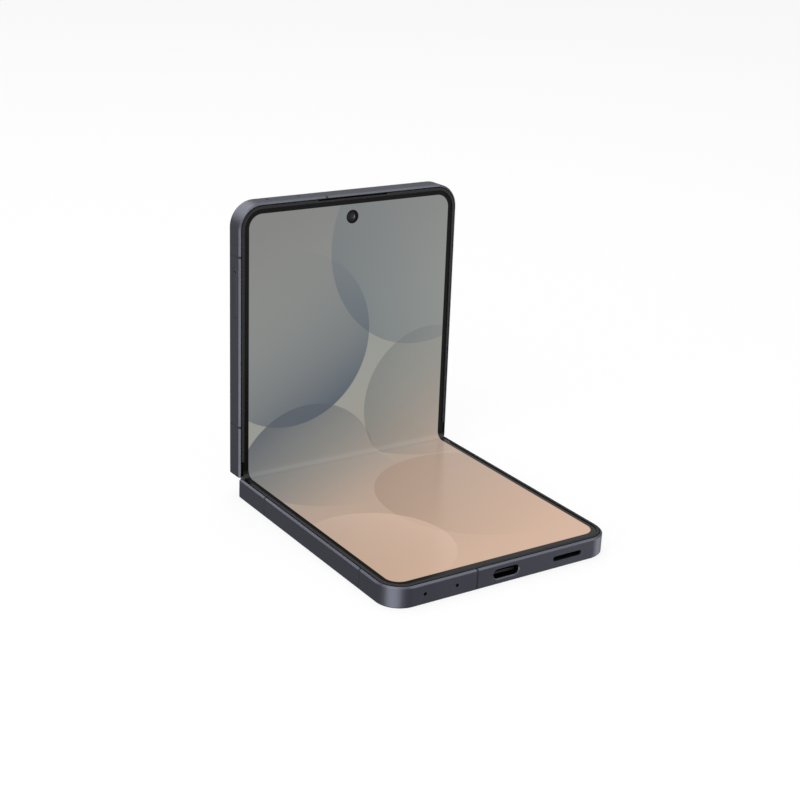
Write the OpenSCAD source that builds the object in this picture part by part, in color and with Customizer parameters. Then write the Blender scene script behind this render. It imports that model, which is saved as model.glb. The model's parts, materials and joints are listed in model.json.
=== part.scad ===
// Folding phone: two aluminium halves joined by a spine, with one flexible display across the fold.
// Each half turns on the spine about its own fold axis. Curved rails on the halves run in grooves of
// the spine, and their inner teeth drive a train of four small gears that keeps both folds equal.
// Units are millimetres. The lower half lies on its back with its free end towards -Y.
// The origin is the middle of the face that the lower half rests on, and +Z is up.
// Within a half a point is [x, v, w]: v runs from the fold line to the free end, w is the height
// above the display face, so everything inside a half has a negative w.

/* [Overall] */
// Width over both side rails
body_w = 75.2; // [72:0.1:80]
// Length of one half, from the fold line to the free end
half_len = 83.35; // [80:0.05:90]
// Thickness of one half, from the display face to the back
half_t = 6.2; // [6.0:0.05:7.2]
// Corner radius of the free ends in plan
corner_r = 7.4; // [5:0.1:10]
// Angle between the two display faces at rest
open_angle = 91; // [85:1:130]

/* [Rails and covers] */
// Thickness of the side rails
rail_t = 1.5; // [1.2:0.05:1.8]
// Chamfer of the rails beside the display
front_chamfer = 0.5; // [0.2:0.05:0.5]
// Chamfer of the rails beside the back cover
back_chamfer = 0.4; // [0.2:0.05:0.5]
// Thickness of the back covers
cover_t = 0.55; // [0.4:0.05:0.7]
// Inset of the back covers from the outside of the rails
cover_inset = 0.9; // [0.7:0.05:1.2]
// Thickness of the plate between the display and the inside of a half
plate_t = 0.7; // [0.5:0.05:0.9]
// Width of the plastic breaks in the rails
break_w = 0.7; // [0.4:0.05:1.2]

/* [Display] */
// Thickness of the flexible display
display_t = 0.45; // [0.3:0.05:0.5]
// Thickness of the steel sheet behind the display
sheet_t = 0.15; // [0.1:0.01:0.2]
// Height of the raised trim above the display
trim_h = 0.3; // [0.2:0.05:0.4]
// Width of the raised trim
trim_w = 0.9; // [0.7:0.05:1.1]
// Width of the groove between the raised trim and the rail
trim_groove = 0.2; // [0.1:0.05:0.3]
// Distance from the fold line at which the trim ends
trim_start = 5.4; // [5:0.1:8]
// Distance from the fold line at which the free part of the display starts
flex_start = 3.2; // [3:0.1:4]
// Inner radius of the display's bend at rest
bend_r = 2.6; // [1.2:0.1:2.6]
// Distance of the front camera from the free end
front_camera_end = 6.85; // [6:0.05:9]
// Radius of the front camera's hole in the display
front_camera_r = 2.0; // [1.6:0.05:2.2]

/* [Hinge] */
// Distance of each fold axis from the middle of the spine
axis_offset = 1.65; // [1.6:0.01:1.75]
// Depth of the fold axes below the display face
axis_depth = 1.0; // [0.9:0.01:1.1]
// Distance of each half's end face from the fold line
end_gap = 0.45; // [0.4:0.05:0.8]
// Radius that rounds the back edge of each half at the fold
end_round = 1.0; // [0.4:0.1:1.2]
// Depth of the spine's outer face below the display, laid flat
spine_drop = 4.8; // [4.75:0.01:4.9]
// Wall of the spine cover
spine_wall = 0.35; // [0.25:0.05:0.4]
// Clearance between the spine and the pockets of the halves
spine_clear = 0.15; // [0.1:0.01:0.25]
// Tooth module of the gear train
tooth_module = 0.2; // [0.19:0.005:0.205]
// Teeth of each small gear
pinion_teeth = 8; // [8:1:8]
// Teeth on the full circle of a curved rail
arc_teeth = 26; // [26:1:26]
// Play between meshing teeth, along the pitch circle
tooth_play = 0.05; // [0.03:0.01:0.08]
// Radial clearance of the curved rails in their grooves
arc_clear = 0.05; // [0.03:0.01:0.08]
// Radius of the gear axles
axle_r = 0.3; // [0.25:0.01:0.35]
// Radial clearance of the gear axles in their bores
axle_clear = 0.03; // [0.02:0.005:0.06]
// Inset of the spine's ends from the outside of the rails
spine_inset = 2.35; // [2.3:0.05:3.5]

/* [Sockets and holes] */
// Width of the charging socket's opening
usb_w = 9.0; // [8.9:0.05:9.4]
// Height of the charging socket's opening
usb_h = 3.2; // [3.1:0.05:3.4]
// Depth of the sockets' and holes' middle line below the display
port_depth = 3.1; // [2.9:0.05:3.3]
// Distance of the loudspeaker slot's middle from the centre line
speaker_x = 21.2; // [18:0.1:24]
// Length of the loudspeaker slot
speaker_w = 10.0; // [8:0.1:12]
// Height of the loudspeaker slot
speaker_h = 1.5; // [1.0:0.05:1.8]
// Distances of the two microphone holes from the centre line
mic_x = [16.3, 26.6];
// Radius of the microphone holes
mic_r = 0.5; // [0.3:0.05:0.6]
// Length of the earpiece slot
ear_w = 23.8; // [18:0.1:26]
// Height of the earpiece slot
ear_h = 0.45; // [0.3:0.05:0.5]

/* [Card tray and keys] */
// Distance of the card tray's middle from the fold line
tray_v = 57.2; // [54:0.1:60]
// Length of the card tray's face
tray_w = 14.9; // [14.5:0.1:16]
// Height of the card tray's face
tray_h = 2.3; // [2.1:0.05:2.5]
// Depth of the tray into the phone
tray_depth = 20; // [18:0.1:22]
// Clearance around the tray's face and the keys
key_gap = 0.08; // [0.05:0.01:0.12]
// Distance of the side key's middle from the fold line
side_key_v = 43; // [40:0.1:46]
// Length of the side key
side_key_w = 13; // [10:0.1:15]
// Distance of the volume key's middle from the fold line
volume_key_v = 63; // [61:0.1:66]
// Length of the volume key
volume_key_w = 19; // [15:0.1:22]
// Height of the keys
key_h = 2.0; // [1.6:0.05:2.4]
// Height of the keys above the rail
key_proud = 0.3; // [0.2:0.05:0.4]
// Travel of the side key
key_travel = 0.25; // [0.15:0.01:0.3]

/* [Rear cameras] */
// Distances of the two rear cameras from the centre line
camera_x = [26.6, 11.6];
// Distance of the rear cameras from the free end
camera_end = 10.9; // [9:0.1:12]
// Outer radius of a camera ring
camera_ring_r = 6.3; // [5.5:0.1:6.8]
// Height of a camera ring above the cover glass
camera_ring_h = 1.0; // [0.6:0.05:1.5]
// Wall of a camera ring
camera_ring_wall = 0.7; // [0.5:0.05:1.0]
// Distance of the flash from the centre line
flash_x = 1.9; // [0:0.1:4]
// Radius of the flash
flash_r = 1.9; // [1.2:0.1:2.2]

/* [Inside] */
// Height of the batteries
battery_t = 3.7; // [3.2:0.05:3.9]
// Length of the battery in the lower half
lower_battery_v = 41; // [36:0.1:44]
// Length of the battery in the upper half
upper_battery_v = 24; // [20:0.1:26]
// Thickness of the circuit boards
board_t = 0.8; // [0.6:0.05:1.0]
// Radius of the screws' shanks
screw_r = 0.45; // [0.4:0.05:0.5]

/* [Hidden] */
$fn = 64;
eps = 0.02;

half_w = body_w / 2;
half_turn = (180 - open_angle) / 2;
corner_x = half_w - corner_r;
corner_v = half_len - corner_r;
face_gap = 0.05;

// Layers of a half, measured down from the display face.
sheet_top = -display_t;
plate_top = sheet_top - sheet_t;
plate_low = plate_top - plate_t;
cover_top = -half_t + cover_t;
room_v = half_len - rail_t;

// Hinge pocket of a half, and the rib that closes it towards the battery.
pocket_skin = 0.1;
pocket_r = half_t - cover_t - pocket_skin - axis_depth;
spine_r = pocket_r - spine_clear;
pocket_wall = 0.6;
spine_x = half_w - spine_inset;
pocket_x = spine_x + spine_clear;
rib_t = 1.0;
rib_v = axis_offset + pocket_r;
rib_top = plate_low - 0.75;
shelf_v = 9.4;
lip_v = end_gap + 1.2;

// Gear train, in the plane of the spine laid flat: angles run from +Y towards +Z.
pinion_r = tooth_module * pinion_teeth / 2;
arc_r = tooth_module * arc_teeth / 2;
tooth_top = 0.75 * tooth_module;
tooth_foot = 1.0 * tooth_module;
pressure_angle = 25;
gear_y = [-3 * pinion_r, -pinion_r, pinion_r, 3 * pinion_r];
arc_to_pinion = arc_r - pinion_r;
gear_z = -axis_depth - sqrt(pow(arc_to_pinion, 2) - pow(gear_y[0] + axis_offset, 2));
mesh_angle = atan2(gear_z + axis_depth, gear_y[0] + axis_offset);
gear_ratio = arc_teeth / pinion_teeth;
tooth_pitch = 360 / pinion_teeth;
// A gear's tooth angle follows from its neighbour's: a tooth of one faces a gap of the other.
lower_pinion_a = mesh_angle;
lower_idler_a = 180 - lower_pinion_a + tooth_pitch / 2;
upper_idler_a = 180 - lower_idler_a + tooth_pitch / 2;
upper_pinion_a = 180 - upper_idler_a + tooth_pitch / 2;
upper_mesh_angle = 180 - mesh_angle;
upper_arc_a = upper_mesh_angle + (upper_pinion_a - upper_mesh_angle) / gear_ratio;

// Ends of the spine's cover and of its hinge modules along X.
cap_t = 0.85;
cover_x = spine_x - cap_t;
module_end = cover_x - 0.8;

// Bands of a hinge module along X, counted from its outer end.
wall_band = 0.8;
groove_band = 1.8;
tooth_band = 1.4;
web_band = 0.5;
gear_band = 1.6;
band_gap = 0.1;
x_groove = wall_band;
x_tooth = x_groove + groove_band + band_gap;
x_web = x_tooth + tooth_band + band_gap;
x_gear = x_web + web_band;
x_web_2 = x_gear + gear_band + 2 * band_gap;
x_tooth_2 = x_web_2 + web_band + band_gap;
x_groove_2 = x_tooth_2 + tooth_band;
x_wall_2 = x_groove_2 + groove_band + band_gap;
module_len = x_wall_2 + wall_band;
block_top = -1.3;
groove_floor = 0.1;
groove_r = spine_drop - spine_wall - axis_depth - groove_floor;
arc_outer_r = groove_r - arc_clear;
band_r = arc_r + tooth_foot + 0.05;
core_r = band_r - arc_clear;
arm_t = 0.7;
arm_top = plate_low;
arm_v = 13.2;
cover_edge = arm_top - arm_t - 0.2;
wing_x = module_end - module_len - 1.2;
wing_t = 0.3;
wing_pin_r = 0.25;
wing_pivot_w = plate_top - face_gap - wing_pin_r;
wing_low_v = 2.6;
wing_pivot_v = shelf_v - 0.35;
wing_ratio = 0.13;
fold_plate_t = 0.2;

// Display, and the trim's foot that fills the gap between the display and the rail.
display_inset = pocket_wall + face_gap + 0.6;
bend_room_x = half_w - display_inset + face_gap;
trim_inset = pocket_wall + face_gap;
trim_step = trim_inset + trim_groove;
trim_round = 0.15;
foot_top = -0.2;
strip_start = end_gap + 0.15;

arm_screw_v = [10.4, 12.4];
// Middle of the curved rails that belong to each half, along X.
lower_arm_x = module_end - (x_groove + x_web) / 2;
upper_arm_x = module_end - (x_tooth_2 + x_wall_2) / 2;
idler_x = [x_gear + band_gap, x_web_2 - band_gap];
idler_axle_x = [x_web + band_gap, x_tooth_2 - 2 * band_gap];

// Spine cover and its end caps.
cap_r = 3.6;
cap_screw_y = 3.6;
cap_screw_z = -2.6;
cap_screw_len = 2.2;
flex_w = -1.85;

// Card tray and its reader.
tray_depth_w = -2.75;
tray_plate_w = 11.8;
tray_plate_t = 0.7;
tray_head_t = 1.3;
reader_wall = 0.25;
reader_gap = 0.12;
reader_h = 2.3;
eject_r = 0.45;

// Keys.
key_z = -2.9;
key_flange = 0.4;
key_flange_t = 0.5;
flange_x = half_w - rail_t - 0.05 - key_flange_t;
switch_t = 0.8;
switch_x = half_w - rail_t - 2.2;
switch_len = 6;
dome_r = 0.9;
rocker_reach = 6;
rocker_gap = 0.2;
rocker_recess = 0.3;

// Boards and modules.
board_z = plate_low - 1.2;
board_end = room_v - 2.65;
board_right = 8.6;
boss_r = 1.3;
boss_len = plate_low - board_z;
boss_x = half_w - rail_t - 2.2;
screw_gap = 0.03;
screw_head_r = 0.95;
screw_head_h = 0.45;
screw_edge = 2;
mic_can = 3;
battery_side = 3.1;
battery_w = body_w - 2 * (rail_t + battery_side);
battery_start = 15.5;
sub_board_v = battery_start + lower_battery_v + 1.3;
main_board_v = battery_start + upper_battery_v + 4.5;
main_board_left = half_w - rail_t - 1.1;
main_board_right = half_w - rail_t - 2.9;
main_board_mid = 4.5;
board_tongue = 3.3;
tray_room = half_w - rail_t - tray_depth - 1.6;
tray_room_v = tray_v + tray_plate_w / 2 + 1.9;
main_board_step_v = tray_v - tray_plate_w / 2 - 2.3;
socket_len = 7.2;
socket_wall = 0.25;
tongue_w = 6.7;
panel_t = 0.35;
can_h = 1.5;
can_wall = 0.2;
can_edge = 2.4;
can_left = tray_room - 1.3;
small_can_left = main_board_left - 5;
small_can_end = 3.55;
camera_room = 6.8;
front_camera_block = 5.6;
camera_block = 11;
speaker_side = 11;
speaker_right = boss_x - 2.4;
motor_r = 4.4;
motor_x = 27;
motor_v = (sub_board_v + board_end) / 2 - 1.1;
coil_r = 19.5;
coil_hole_r = 9.5;
coil_t = 0.3;
camera_v = half_len - camera_end;
camera_sleeve_r = 5.5;
camera_glass_r = 5.1;

// ---------- Placing and sweeping ----------

module lower() { translate([0, half_len / 2, half_t]) mirror([0, 1, 0]) children(); }

// The spine's own frame: Y = 0 is midway between the fold axes, Z = 0 is the display face laid flat.
module spine() {
    translate([0, half_len / 2 - axis_offset, half_t - axis_depth])
        rotate([half_turn, 0, 0])
            translate([0, axis_offset, axis_depth]) children();
}

module upper() {
    spine() translate([0, axis_offset, -axis_depth]) rotate([half_turn, 0, 0])
        translate([0, -axis_offset, axis_depth]) children();
}

// Extrudes a profile drawn in Y and Z along X.
module along_x(x0, x1) {
    translate([x0, 0, 0]) rotate([90, 0, 90]) linear_extrude(x1 - x0) children();
}

// Extrudes a profile drawn in X and Z along Y.
module along_v(v0, v1) {
    translate([0, v1, 0]) rotate([90, 0, 0]) linear_extrude(v1 - v0) children();
}

module layer(w0, w1) { translate([0, 0, w0]) linear_extrude(w1 - w0) children(); }

module both_sides() {
    children();
    mirror([1, 0, 0]) children();
}

// Outline of a half in plan, inset by d from the outside of its rails.
module outline(d, v0) {
    translate([-half_w + d, v0]) square([body_w - 2 * d, corner_v - v0]);
    translate([-corner_x, v0]) square([2 * corner_x, half_len - d - v0]);
    for (side = [-1, 1])
        translate([side * corner_x, corner_v]) circle(r = corner_r - d);
}

// Sweeps a profile, given as [inset, w] points, along both sides and round the free end.
module sweep(points, v0) {
    both_sides() {
        along_v(v0, corner_v) polygon([for (p = points) [half_w - p[0], p[1]]]);
        translate([corner_x, corner_v, 0])
            rotate_extrude(angle = 90) polygon([for (p = points) [corner_r - p[0], p[1]]]);
    }
    along_x(-corner_x, corner_x) polygon([for (p = points) [half_len - p[0], p[1]]]);
}

// A bar with round ends in plan, centred on the origin.
module stadium(length, height) {
    square([length - height, height], center = true);
    for (side = [-1, 1]) translate([side * (length - height) / 2, 0]) circle(d = height);
}

// ---------- Shared forms of the two halves ----------

// The outside of a half: rounded plate with chamfered rails and a rounded back edge at the fold.
module envelope() {
    difference() {
        layer(-half_t, 0) outline(0, end_gap);
        sweep([[-eps, -front_chamfer - eps], [front_chamfer + eps, eps], [-eps, eps]], -1);
        sweep([[-eps, -half_t + back_chamfer + eps], [-eps, -half_t - eps],
            [back_chamfer + eps, -half_t - eps]], -1);
        along_x(-half_w - 1, half_w + 1) difference() {
            translate([end_gap - eps, -half_t - eps]) square(end_round + eps);
            translate([end_gap + end_round, -half_t + end_round]) circle(r = end_round);
        }
    }
}

module hinge_pocket() {
    along_x(-pocket_x, pocket_x) translate([axis_offset, -axis_depth]) circle(r = pocket_r);
    translate([-bend_room_x, -1, -axis_depth])
        cube([2 * bend_room_x, 1 + rib_v - 0.35, axis_depth + 1]);
    translate([-pocket_x, -1, rib_top]) cube([2 * pocket_x, 1 + shelf_v, 1 - rib_top]);
}

module half_frame(left_v, right_v, end_x) {
    difference() {
        envelope();
        layer(plate_top, 1) outline(pocket_wall, -1);
        layer(cover_top, plate_low) outline(rail_t, rib_v + rib_t);
        layer(-half_t - 1, cover_top) outline(cover_inset, lip_v);
        hinge_pocket();
        rail_break_cuts(left_v, right_v, end_x);
    }
}

// The plastic breaks fill the rails' whole section at these places.
module rail_break_cuts(left_v, right_v, end_x) {
    for (v = left_v) mirror([1, 0, 0]) side_break(v);
    for (v = right_v) side_break(v);
    translate([end_x - break_w / 2, room_v, -half_t - 1]) cube([break_w, rail_t + 1, half_t + 2]);
}

module side_break(v) {
    translate([half_w - rail_t, v - break_w / 2, -half_t - 1]) cube([rail_t + 1, break_w, half_t + 2]);
}

module half_breaks(left_v, right_v, end_x) {
    difference() {
        intersection() {
            envelope();
            rail_break_cuts(left_v, right_v, end_x);
        }
        layer(plate_top, 1) outline(pocket_wall, -1);
        layer(-half_t - 1, cover_top) outline(cover_inset, lip_v);
    }
}

// Posts under the plate that carry the boards.
module bosses(places) {
    for (p = places) translate([p[0], p[1], board_z]) cylinder(r = boss_r, h = boss_len + eps);
}

module boss_holes(places) {
    for (p = places) translate([p[0], p[1], board_z - 1])
        cylinder(r = screw_r + screw_gap, h = boss_len + 1);
}

module arm_screw_holes(arm_x) {
    for (side = [-1, 1]) for (v = arm_screw_v) translate([side * arm_x, v, plate_low - 1])
        cylinder(r = screw_r + screw_gap, h = 1 + plate_t - 0.15);
}

// Keeps a board or module inside the rails.
module in_room() intersection() {
    children();
    layer(-half_t, 0) outline(rail_t + face_gap, 0);
}

module screw_holes(places) {
    for (p = places) translate([p[0], p[1], board_z - board_t - 3])
        cylinder(r = screw_r + screw_gap, h = 6);
}

// The trim stands on a foot beside the display, overlaps the display's edge, and leaves a groove
// beside the rail. Towards the fold only the foot goes on, as a thin strip.
module half_trim() {
    sweep([[trim_inset, plate_top], [trim_inset, foot_top], [trim_step, foot_top],
        [trim_step, trim_h - trim_round], [trim_step + trim_round, trim_h],
        [trim_step + trim_w - trim_round, trim_h], [trim_step + trim_w, trim_h - trim_round],
        [trim_step + trim_w, 0], [display_inset - face_gap, 0],
        [display_inset - face_gap, plate_top]], trim_start);
    both_sides() along_v(strip_start, trim_start + 1)
        translate([half_w - display_inset + 2 * face_gap, plate_top + face_gap])
            square([display_inset - trim_inset - 3 * face_gap, foot_top - plate_top - 2 * face_gap]);
}

// A layer of the display that is fixed to a half.
module half_display(w0, w1) { layer(w0, w1) outline(display_inset, flex_start); }

module back_plate() { layer(-half_t, cover_top) outline(cover_inset + face_gap, lip_v + face_gap); }

module battery(v, length) {
    translate([-battery_w / 2, v, plate_low - face_gap - battery_t]) cube([battery_w, length, battery_t]);
}

// Microphone cans on the board's edge, behind the holes at height w.
module microphones(w) in_room() {
    for (x = mic_x) translate([-x - mic_can / 2, board_end + face_gap, w - mic_can / 4])
        cube([mic_can, room_v - board_end, mic_can / 2]);
}

// Support plate under the free part of the display. It tilts about its far edge as the phone folds.
module wing_plate() {
    translate([0, wing_pivot_v, wing_pivot_w]) rotate([wing_ratio * half_turn, 0, 0]) {
        translate([-wing_x, wing_low_v - wing_pivot_v, -wing_t / 2])
            cube([2 * wing_x, wing_pivot_v - wing_low_v, wing_t]);
        rotate([0, 90, 0]) cylinder(r = wing_pin_r, h = 2 * wing_x, center = true);
    }
}

module half_screws(places, arm_x) {
    for (p = places) translate([p[0], p[1], board_z - board_t]) screw(board_t + boss_len - 0.2);
    for (side = [-1, 1]) for (v = arm_screw_v) translate([side * arm_x, v, arm_top - arm_t])
        screw(arm_t + plate_t - 0.25);
}

// A screw whose head hangs below the origin and whose shank points up.
module screw(shank) {
    cylinder(r = screw_r, h = shank);
    translate([0, 0, -screw_head_h]) difference() {
        cylinder(r = screw_head_r, h = screw_head_h);
        translate([0, 0, -eps]) cylinder(r = screw_r, h = screw_head_h / 2, $fn = 6);
    }
}

// ---------- Gears and curved rails ----------

function involute(rb, r) = let (t = sqrt(pow(r / rb, 2) - 1)) t * 180 / PI - atan(t);

// Half of a tooth's angle at radius r, for n teeth that are narrowed by play along the pitch circle.
function tooth_half(n, r, play) =
    let (pitch = tooth_module * n / 2, rb = pitch * cos(pressure_angle))
    90 / n - play / pitch * 90 / PI + involute(rb, pitch) - involute(rb, max(r, rb));

function polar(r, a) = [r * cos(a), r * sin(a)];

module gear_shape(n, foot, top, play) {
    pitch = tooth_module * n / 2;
    radii = [for (i = [0:4]) pitch - foot + i * (foot + top) / 4];
    polygon([for (k = [0:n - 1]) each concat(
        [for (i = [0:4]) polar(radii[i], k * 360 / n - tooth_half(n, radii[i], play))],
        [for (i = [4:-1:0]) polar(radii[i], k * 360 / n + tooth_half(n, radii[i], play))])]);
}

module pinion_shape() { gear_shape(pinion_teeth, tooth_foot, tooth_top, tooth_play / 2); }

// The inner teeth of a curved rail are the gaps between the teeth of a gear of the same pitch.
module arc_teeth_gap() { gear_shape(arc_teeth, tooth_top, tooth_foot, -tooth_play / 2); }

// Curved rail about the lower fold axis, laid flat: it starts at the half and dips into the spine.
arc_first = 180;
arc_last = 342;
module sector(r, a0, a1) {
    steps = 12;
    polygon(concat([[0, 0]], [for (i = [0:steps]) polar(r, a0 + (a1 - a0) * i / steps)]));
}

module rail_ring(inner_r) {
    difference() {
        circle(r = arc_outer_r);
        circle(r = inner_r);
    }
}

module rail_sector() { sector(arc_outer_r * 1.3, arc_first, arc_last); }

module rail_arm_shape() {
    translate([-(arm_v - axis_offset), arm_top - arm_t + axis_depth])
        square([arm_v - axis_offset - band_r, arm_t]);
}

// Both curved rails of the half on the -Y side, laid flat: a smooth band that runs in the groove,
// a toothed band beside it whose gap at gap_a faces a gear tooth, and the arm that carries them.
module curved_rails(groove_x, tooth_x, arm_x, gap_a) {
    x0 = min(groove_x[0], tooth_x[0]);
    x1 = max(groove_x[1], tooth_x[1]);
    both_sides() translate([0, -axis_offset, -axis_depth]) difference() {
        union() {
            along_x(groove_x[0], groove_x[1]) intersection() {
                rail_ring(band_r);
                rail_sector();
            }
            along_x(tooth_x[0], tooth_x[1]) intersection() {
                difference() {
                    circle(r = arc_outer_r);
                    rotate(gap_a) arc_teeth_gap();
                }
                rail_sector();
            }
            along_x(x0, x1) difference() {
                rail_arm_shape();
                circle(r = arc_outer_r - 0.3);
            }
        }
        for (v = arm_screw_v) translate([arm_x, axis_offset - v, -half_t])
            cylinder(r = screw_r + screw_gap, h = half_t * 2);
    }
}

// ---------- Lower half ----------

lower_break_v = [15.8, half_len - 15.55];
lower_break_x = -9.7;
lower_bosses = [for (side = [-1, 1]) for (v = [sub_board_v + 1.8, board_end - screw_edge])
    [side * boss_x, v]];
lower_colour = [0.27, 0.28, 0.32];
black = [0.05, 0.05, 0.055];

module port(length, height) {
    translate([0, half_len + 1, -port_depth]) rotate([90, 0, 0])
        linear_extrude(rail_t + 2) stadium(length, height);
}

module mic_ports(depth) {
    for (x = mic_x) translate([-x, half_len + 1, -depth]) rotate([90, 0, 0])
        cylinder(r = mic_r, h = rail_t + 2);
}

module lower_frame() color(lower_colour) lower() difference() {
    union() {
        half_frame(lower_break_v, lower_break_v, lower_break_x);
        bosses(lower_bosses);
    }
    boss_holes(lower_bosses);
    arm_screw_holes(lower_arm_x);
    port(usb_w, usb_h);
    translate([speaker_x, 0, 0]) port(speaker_w, speaker_h);
    mic_ports(port_depth);
}

module lower_back_cover() color(lower_colour) lower() back_plate();

module lower_trim() color(black) lower() half_trim();

module lower_display() color("tan") lower() half_display(sheet_top, 0);

module lower_display_sheet() color("silver") lower() half_display(plate_top, sheet_top);

module lower_battery() color("dimgray") lower()
    battery(battery_start, lower_battery_v);

module sub_board() color("darkgreen") lower() in_room() difference() {
    union() {
        translate([-boss_x - 1.4, sub_board_v, board_z - board_t])
            cube([2 * boss_x + 2.8, 5, board_t]);
        translate([-boss_x - 1.4, sub_board_v, board_z - board_t])
            cube([boss_x + 1.4 + board_right, board_end - sub_board_v, board_t]);
    }
    translate([-usb_w / 2 - 0.1, room_v - socket_len - 0.3, board_z - board_t - 1])
        cube([usb_w + 0.2, socket_len + 5, board_t + 2]);
    screw_holes(lower_bosses);
}

module usb_socket_shell() color("silver") lower()
    translate([0, room_v + rail_t - 0.6, -port_depth]) rotate([90, 0, 0]) difference() {
        linear_extrude(socket_len) stadium(usb_w - 2 * key_gap, usb_h - 2 * key_gap);
        translate([0, 0, -1]) linear_extrude(socket_len)
            stadium(usb_w - 2 * key_gap - 2 * socket_wall, usb_h - 2 * key_gap - 2 * socket_wall);
    }

module usb_socket_tongue() color(black) lower()
    translate([0, room_v + rail_t - 0.6 - socket_len + 1, -port_depth]) {
        translate([-tongue_w / 2, 0, -0.35]) cube([tongue_w, socket_len - 1.6, 0.7]);
    }

module loudspeaker() color("dimgray") lower() in_room() difference() {
    union() {
        translate([speaker_x - speaker_side, sub_board_v + 6, cover_top + 0.1])
            cube([speaker_right - speaker_x + speaker_side, room_v - sub_board_v - 6,
                plate_low - cover_top - 0.15]);
        translate([speaker_right - 1, board_end - screw_edge - 1.4, board_z - board_t])
            cube([boss_x + 2.4 - speaker_right, screw_edge + 1.4, board_t]);
    }
    translate([speaker_x, room_v - 2, -port_depth]) rotate([-90, 0, 0])
        linear_extrude(3) stadium(speaker_w, speaker_h);
    screw_holes(lower_bosses);
}

module vibration_motor() color("silver") lower()
    translate([-motor_x, motor_v, cover_top + 0.1]) {
        cylinder(r = motor_r, h = board_z - board_t - cover_top - 0.1);
        translate([-2, -6.2, 0]) cube([4, 4, 0.6]);
    }

module charging_coil() color([0.72, 0.42, 0.22]) lower()
    translate([0, battery_start + lower_battery_v / 2, cover_top]) difference() {
        cylinder(r = coil_r, h = coil_t);
        translate([0, 0, -1]) cylinder(r = coil_hole_r, h = coil_t + 2);
    }

module lower_rail_breaks() color([0.2, 0.21, 0.24]) lower()
    half_breaks(lower_break_v, lower_break_v, lower_break_x);

module lower_screws() color("silver") lower() half_screws(lower_bosses, lower_arm_x);

module lower_microphones() color("silver") lower() microphones(-port_depth);

module lower_curved_rails() color("silver") lower() mirror([0, 1, 0])
    curved_rails(
        [module_end - x_tooth, module_end - x_groove - band_gap],
        [module_end - x_web + band_gap, module_end - x_tooth],
        lower_arm_x, mesh_angle);

module lower_wing_plate() color("gray") lower() wing_plate();

// ---------- Upper half ----------

upper_left_break_v = [16.4, tray_v + tray_w / 2 + 3.45];
upper_right_break_v = [16.4, half_len - 7.95];
upper_break_x = -8.8;
upper_bosses = [[screw_edge - main_board_left, main_board_v + screw_edge],
    [main_board_right - 2.2, main_board_v + screw_edge], [-boss_x, board_end - screw_edge]];
upper_mic_depth = port_depth + 0.6;

module upper_frame() color(lower_colour) upper() difference() {
    union() {
        half_frame(upper_left_break_v, upper_right_break_v, upper_break_x);
        bosses(upper_bosses);
    }
    boss_holes(upper_bosses);
    arm_screw_holes(upper_arm_x);
    mic_ports(upper_mic_depth);
    translate([0, half_len - front_camera_end, -half_t])
        cylinder(r = front_camera_r + 0.1, h = half_t + 1);
    ear_slot();
    translate([half_w - rail_t + rocker_recess - 1, volume_key_v, key_z]) rotate([0, 90, 0])
        rotate([0, 0, 90]) linear_extrude(1) stadium(volume_key_w + 2 * key_flange + 2 * rocker_recess,
            key_h + 2 * key_flange + 2 * rocker_recess);
    rail_opening(-1, tray_v, tray_depth_w, tray_w + 2 * key_gap, tray_h + 2 * key_gap);
    rail_opening(1, side_key_v, key_z, side_key_w + 2 * key_gap, key_h + 2 * key_gap);
    rail_opening(1, volume_key_v, key_z, volume_key_w + 2 * key_gap, key_h + 2 * key_gap);
}

// The duct from the earpiece to the slot between the trim and the end rail.
module ear_slot() translate([-ear_w / 2, room_v - 0.3, plate_low - 1])
    cube([ear_w, half_len - pocket_wall - face_gap - room_v + 0.3, half_t]);

// A long hole with round ends through one side rail, at v and w.
module rail_opening(side, v, w, length, height) {
    translate([side * (half_w - rail_t / 2), v, w]) rotate([0, 90, 0]) rotate([0, 0, 90])
        linear_extrude(rail_t + 2, center = true) stadium(length, height);
}

module cover_glass() color(black) upper() difference() {
    back_plate();
    for (x = camera_x) translate([x, camera_v, -half_t - 1])
        cylinder(r = camera_sleeve_r + screw_gap, h = half_t);
    translate([flash_x, camera_v, -half_t - 1]) cylinder(r = flash_r + screw_gap, h = half_t);
}

module cover_display() color([0.1, 0.1, 0.12]) upper() difference() {
    layer(cover_top, cover_top + panel_t) outline(rail_t + 0.7, rib_v + rib_t + 0.1);
    for (x = camera_x) translate([x, camera_v, -half_t - 1])
        cylinder(r = camera_sleeve_r + 0.2, h = half_t);
    translate([flash_x, camera_v, -half_t - 1]) cylinder(r = flash_r + 0.2, h = half_t);
}

module upper_trim() color(black) upper() difference() {
    half_trim();
    translate([-ear_w / 2, half_len - trim_inset - ear_h, -1]) cube([ear_w, ear_h + 1, 3]);
}

module upper_display() color("lightslategray") upper() difference() {
    half_display(sheet_top, 0);
    translate([0, half_len - front_camera_end, -1]) cylinder(r = front_camera_r, h = 2);
}

module upper_display_sheet() color("silver") upper() difference() {
    half_display(plate_top, sheet_top);
    translate([0, half_len - front_camera_end, -2]) cylinder(r = front_camera_r, h = 3);
}

module front_camera() color(black) upper() translate([0, half_len - front_camera_end, 0]) {
    translate([0, 0, cover_top + panel_t + 0.15]) {
        translate([-front_camera_block / 2, -front_camera_block / 2, 0])
            cube([front_camera_block, front_camera_block, plate_low - cover_top - panel_t - 0.2]);
        cylinder(r = front_camera_r - 0.1, h = -cover_top - panel_t - 0.45);
    }
}

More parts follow.
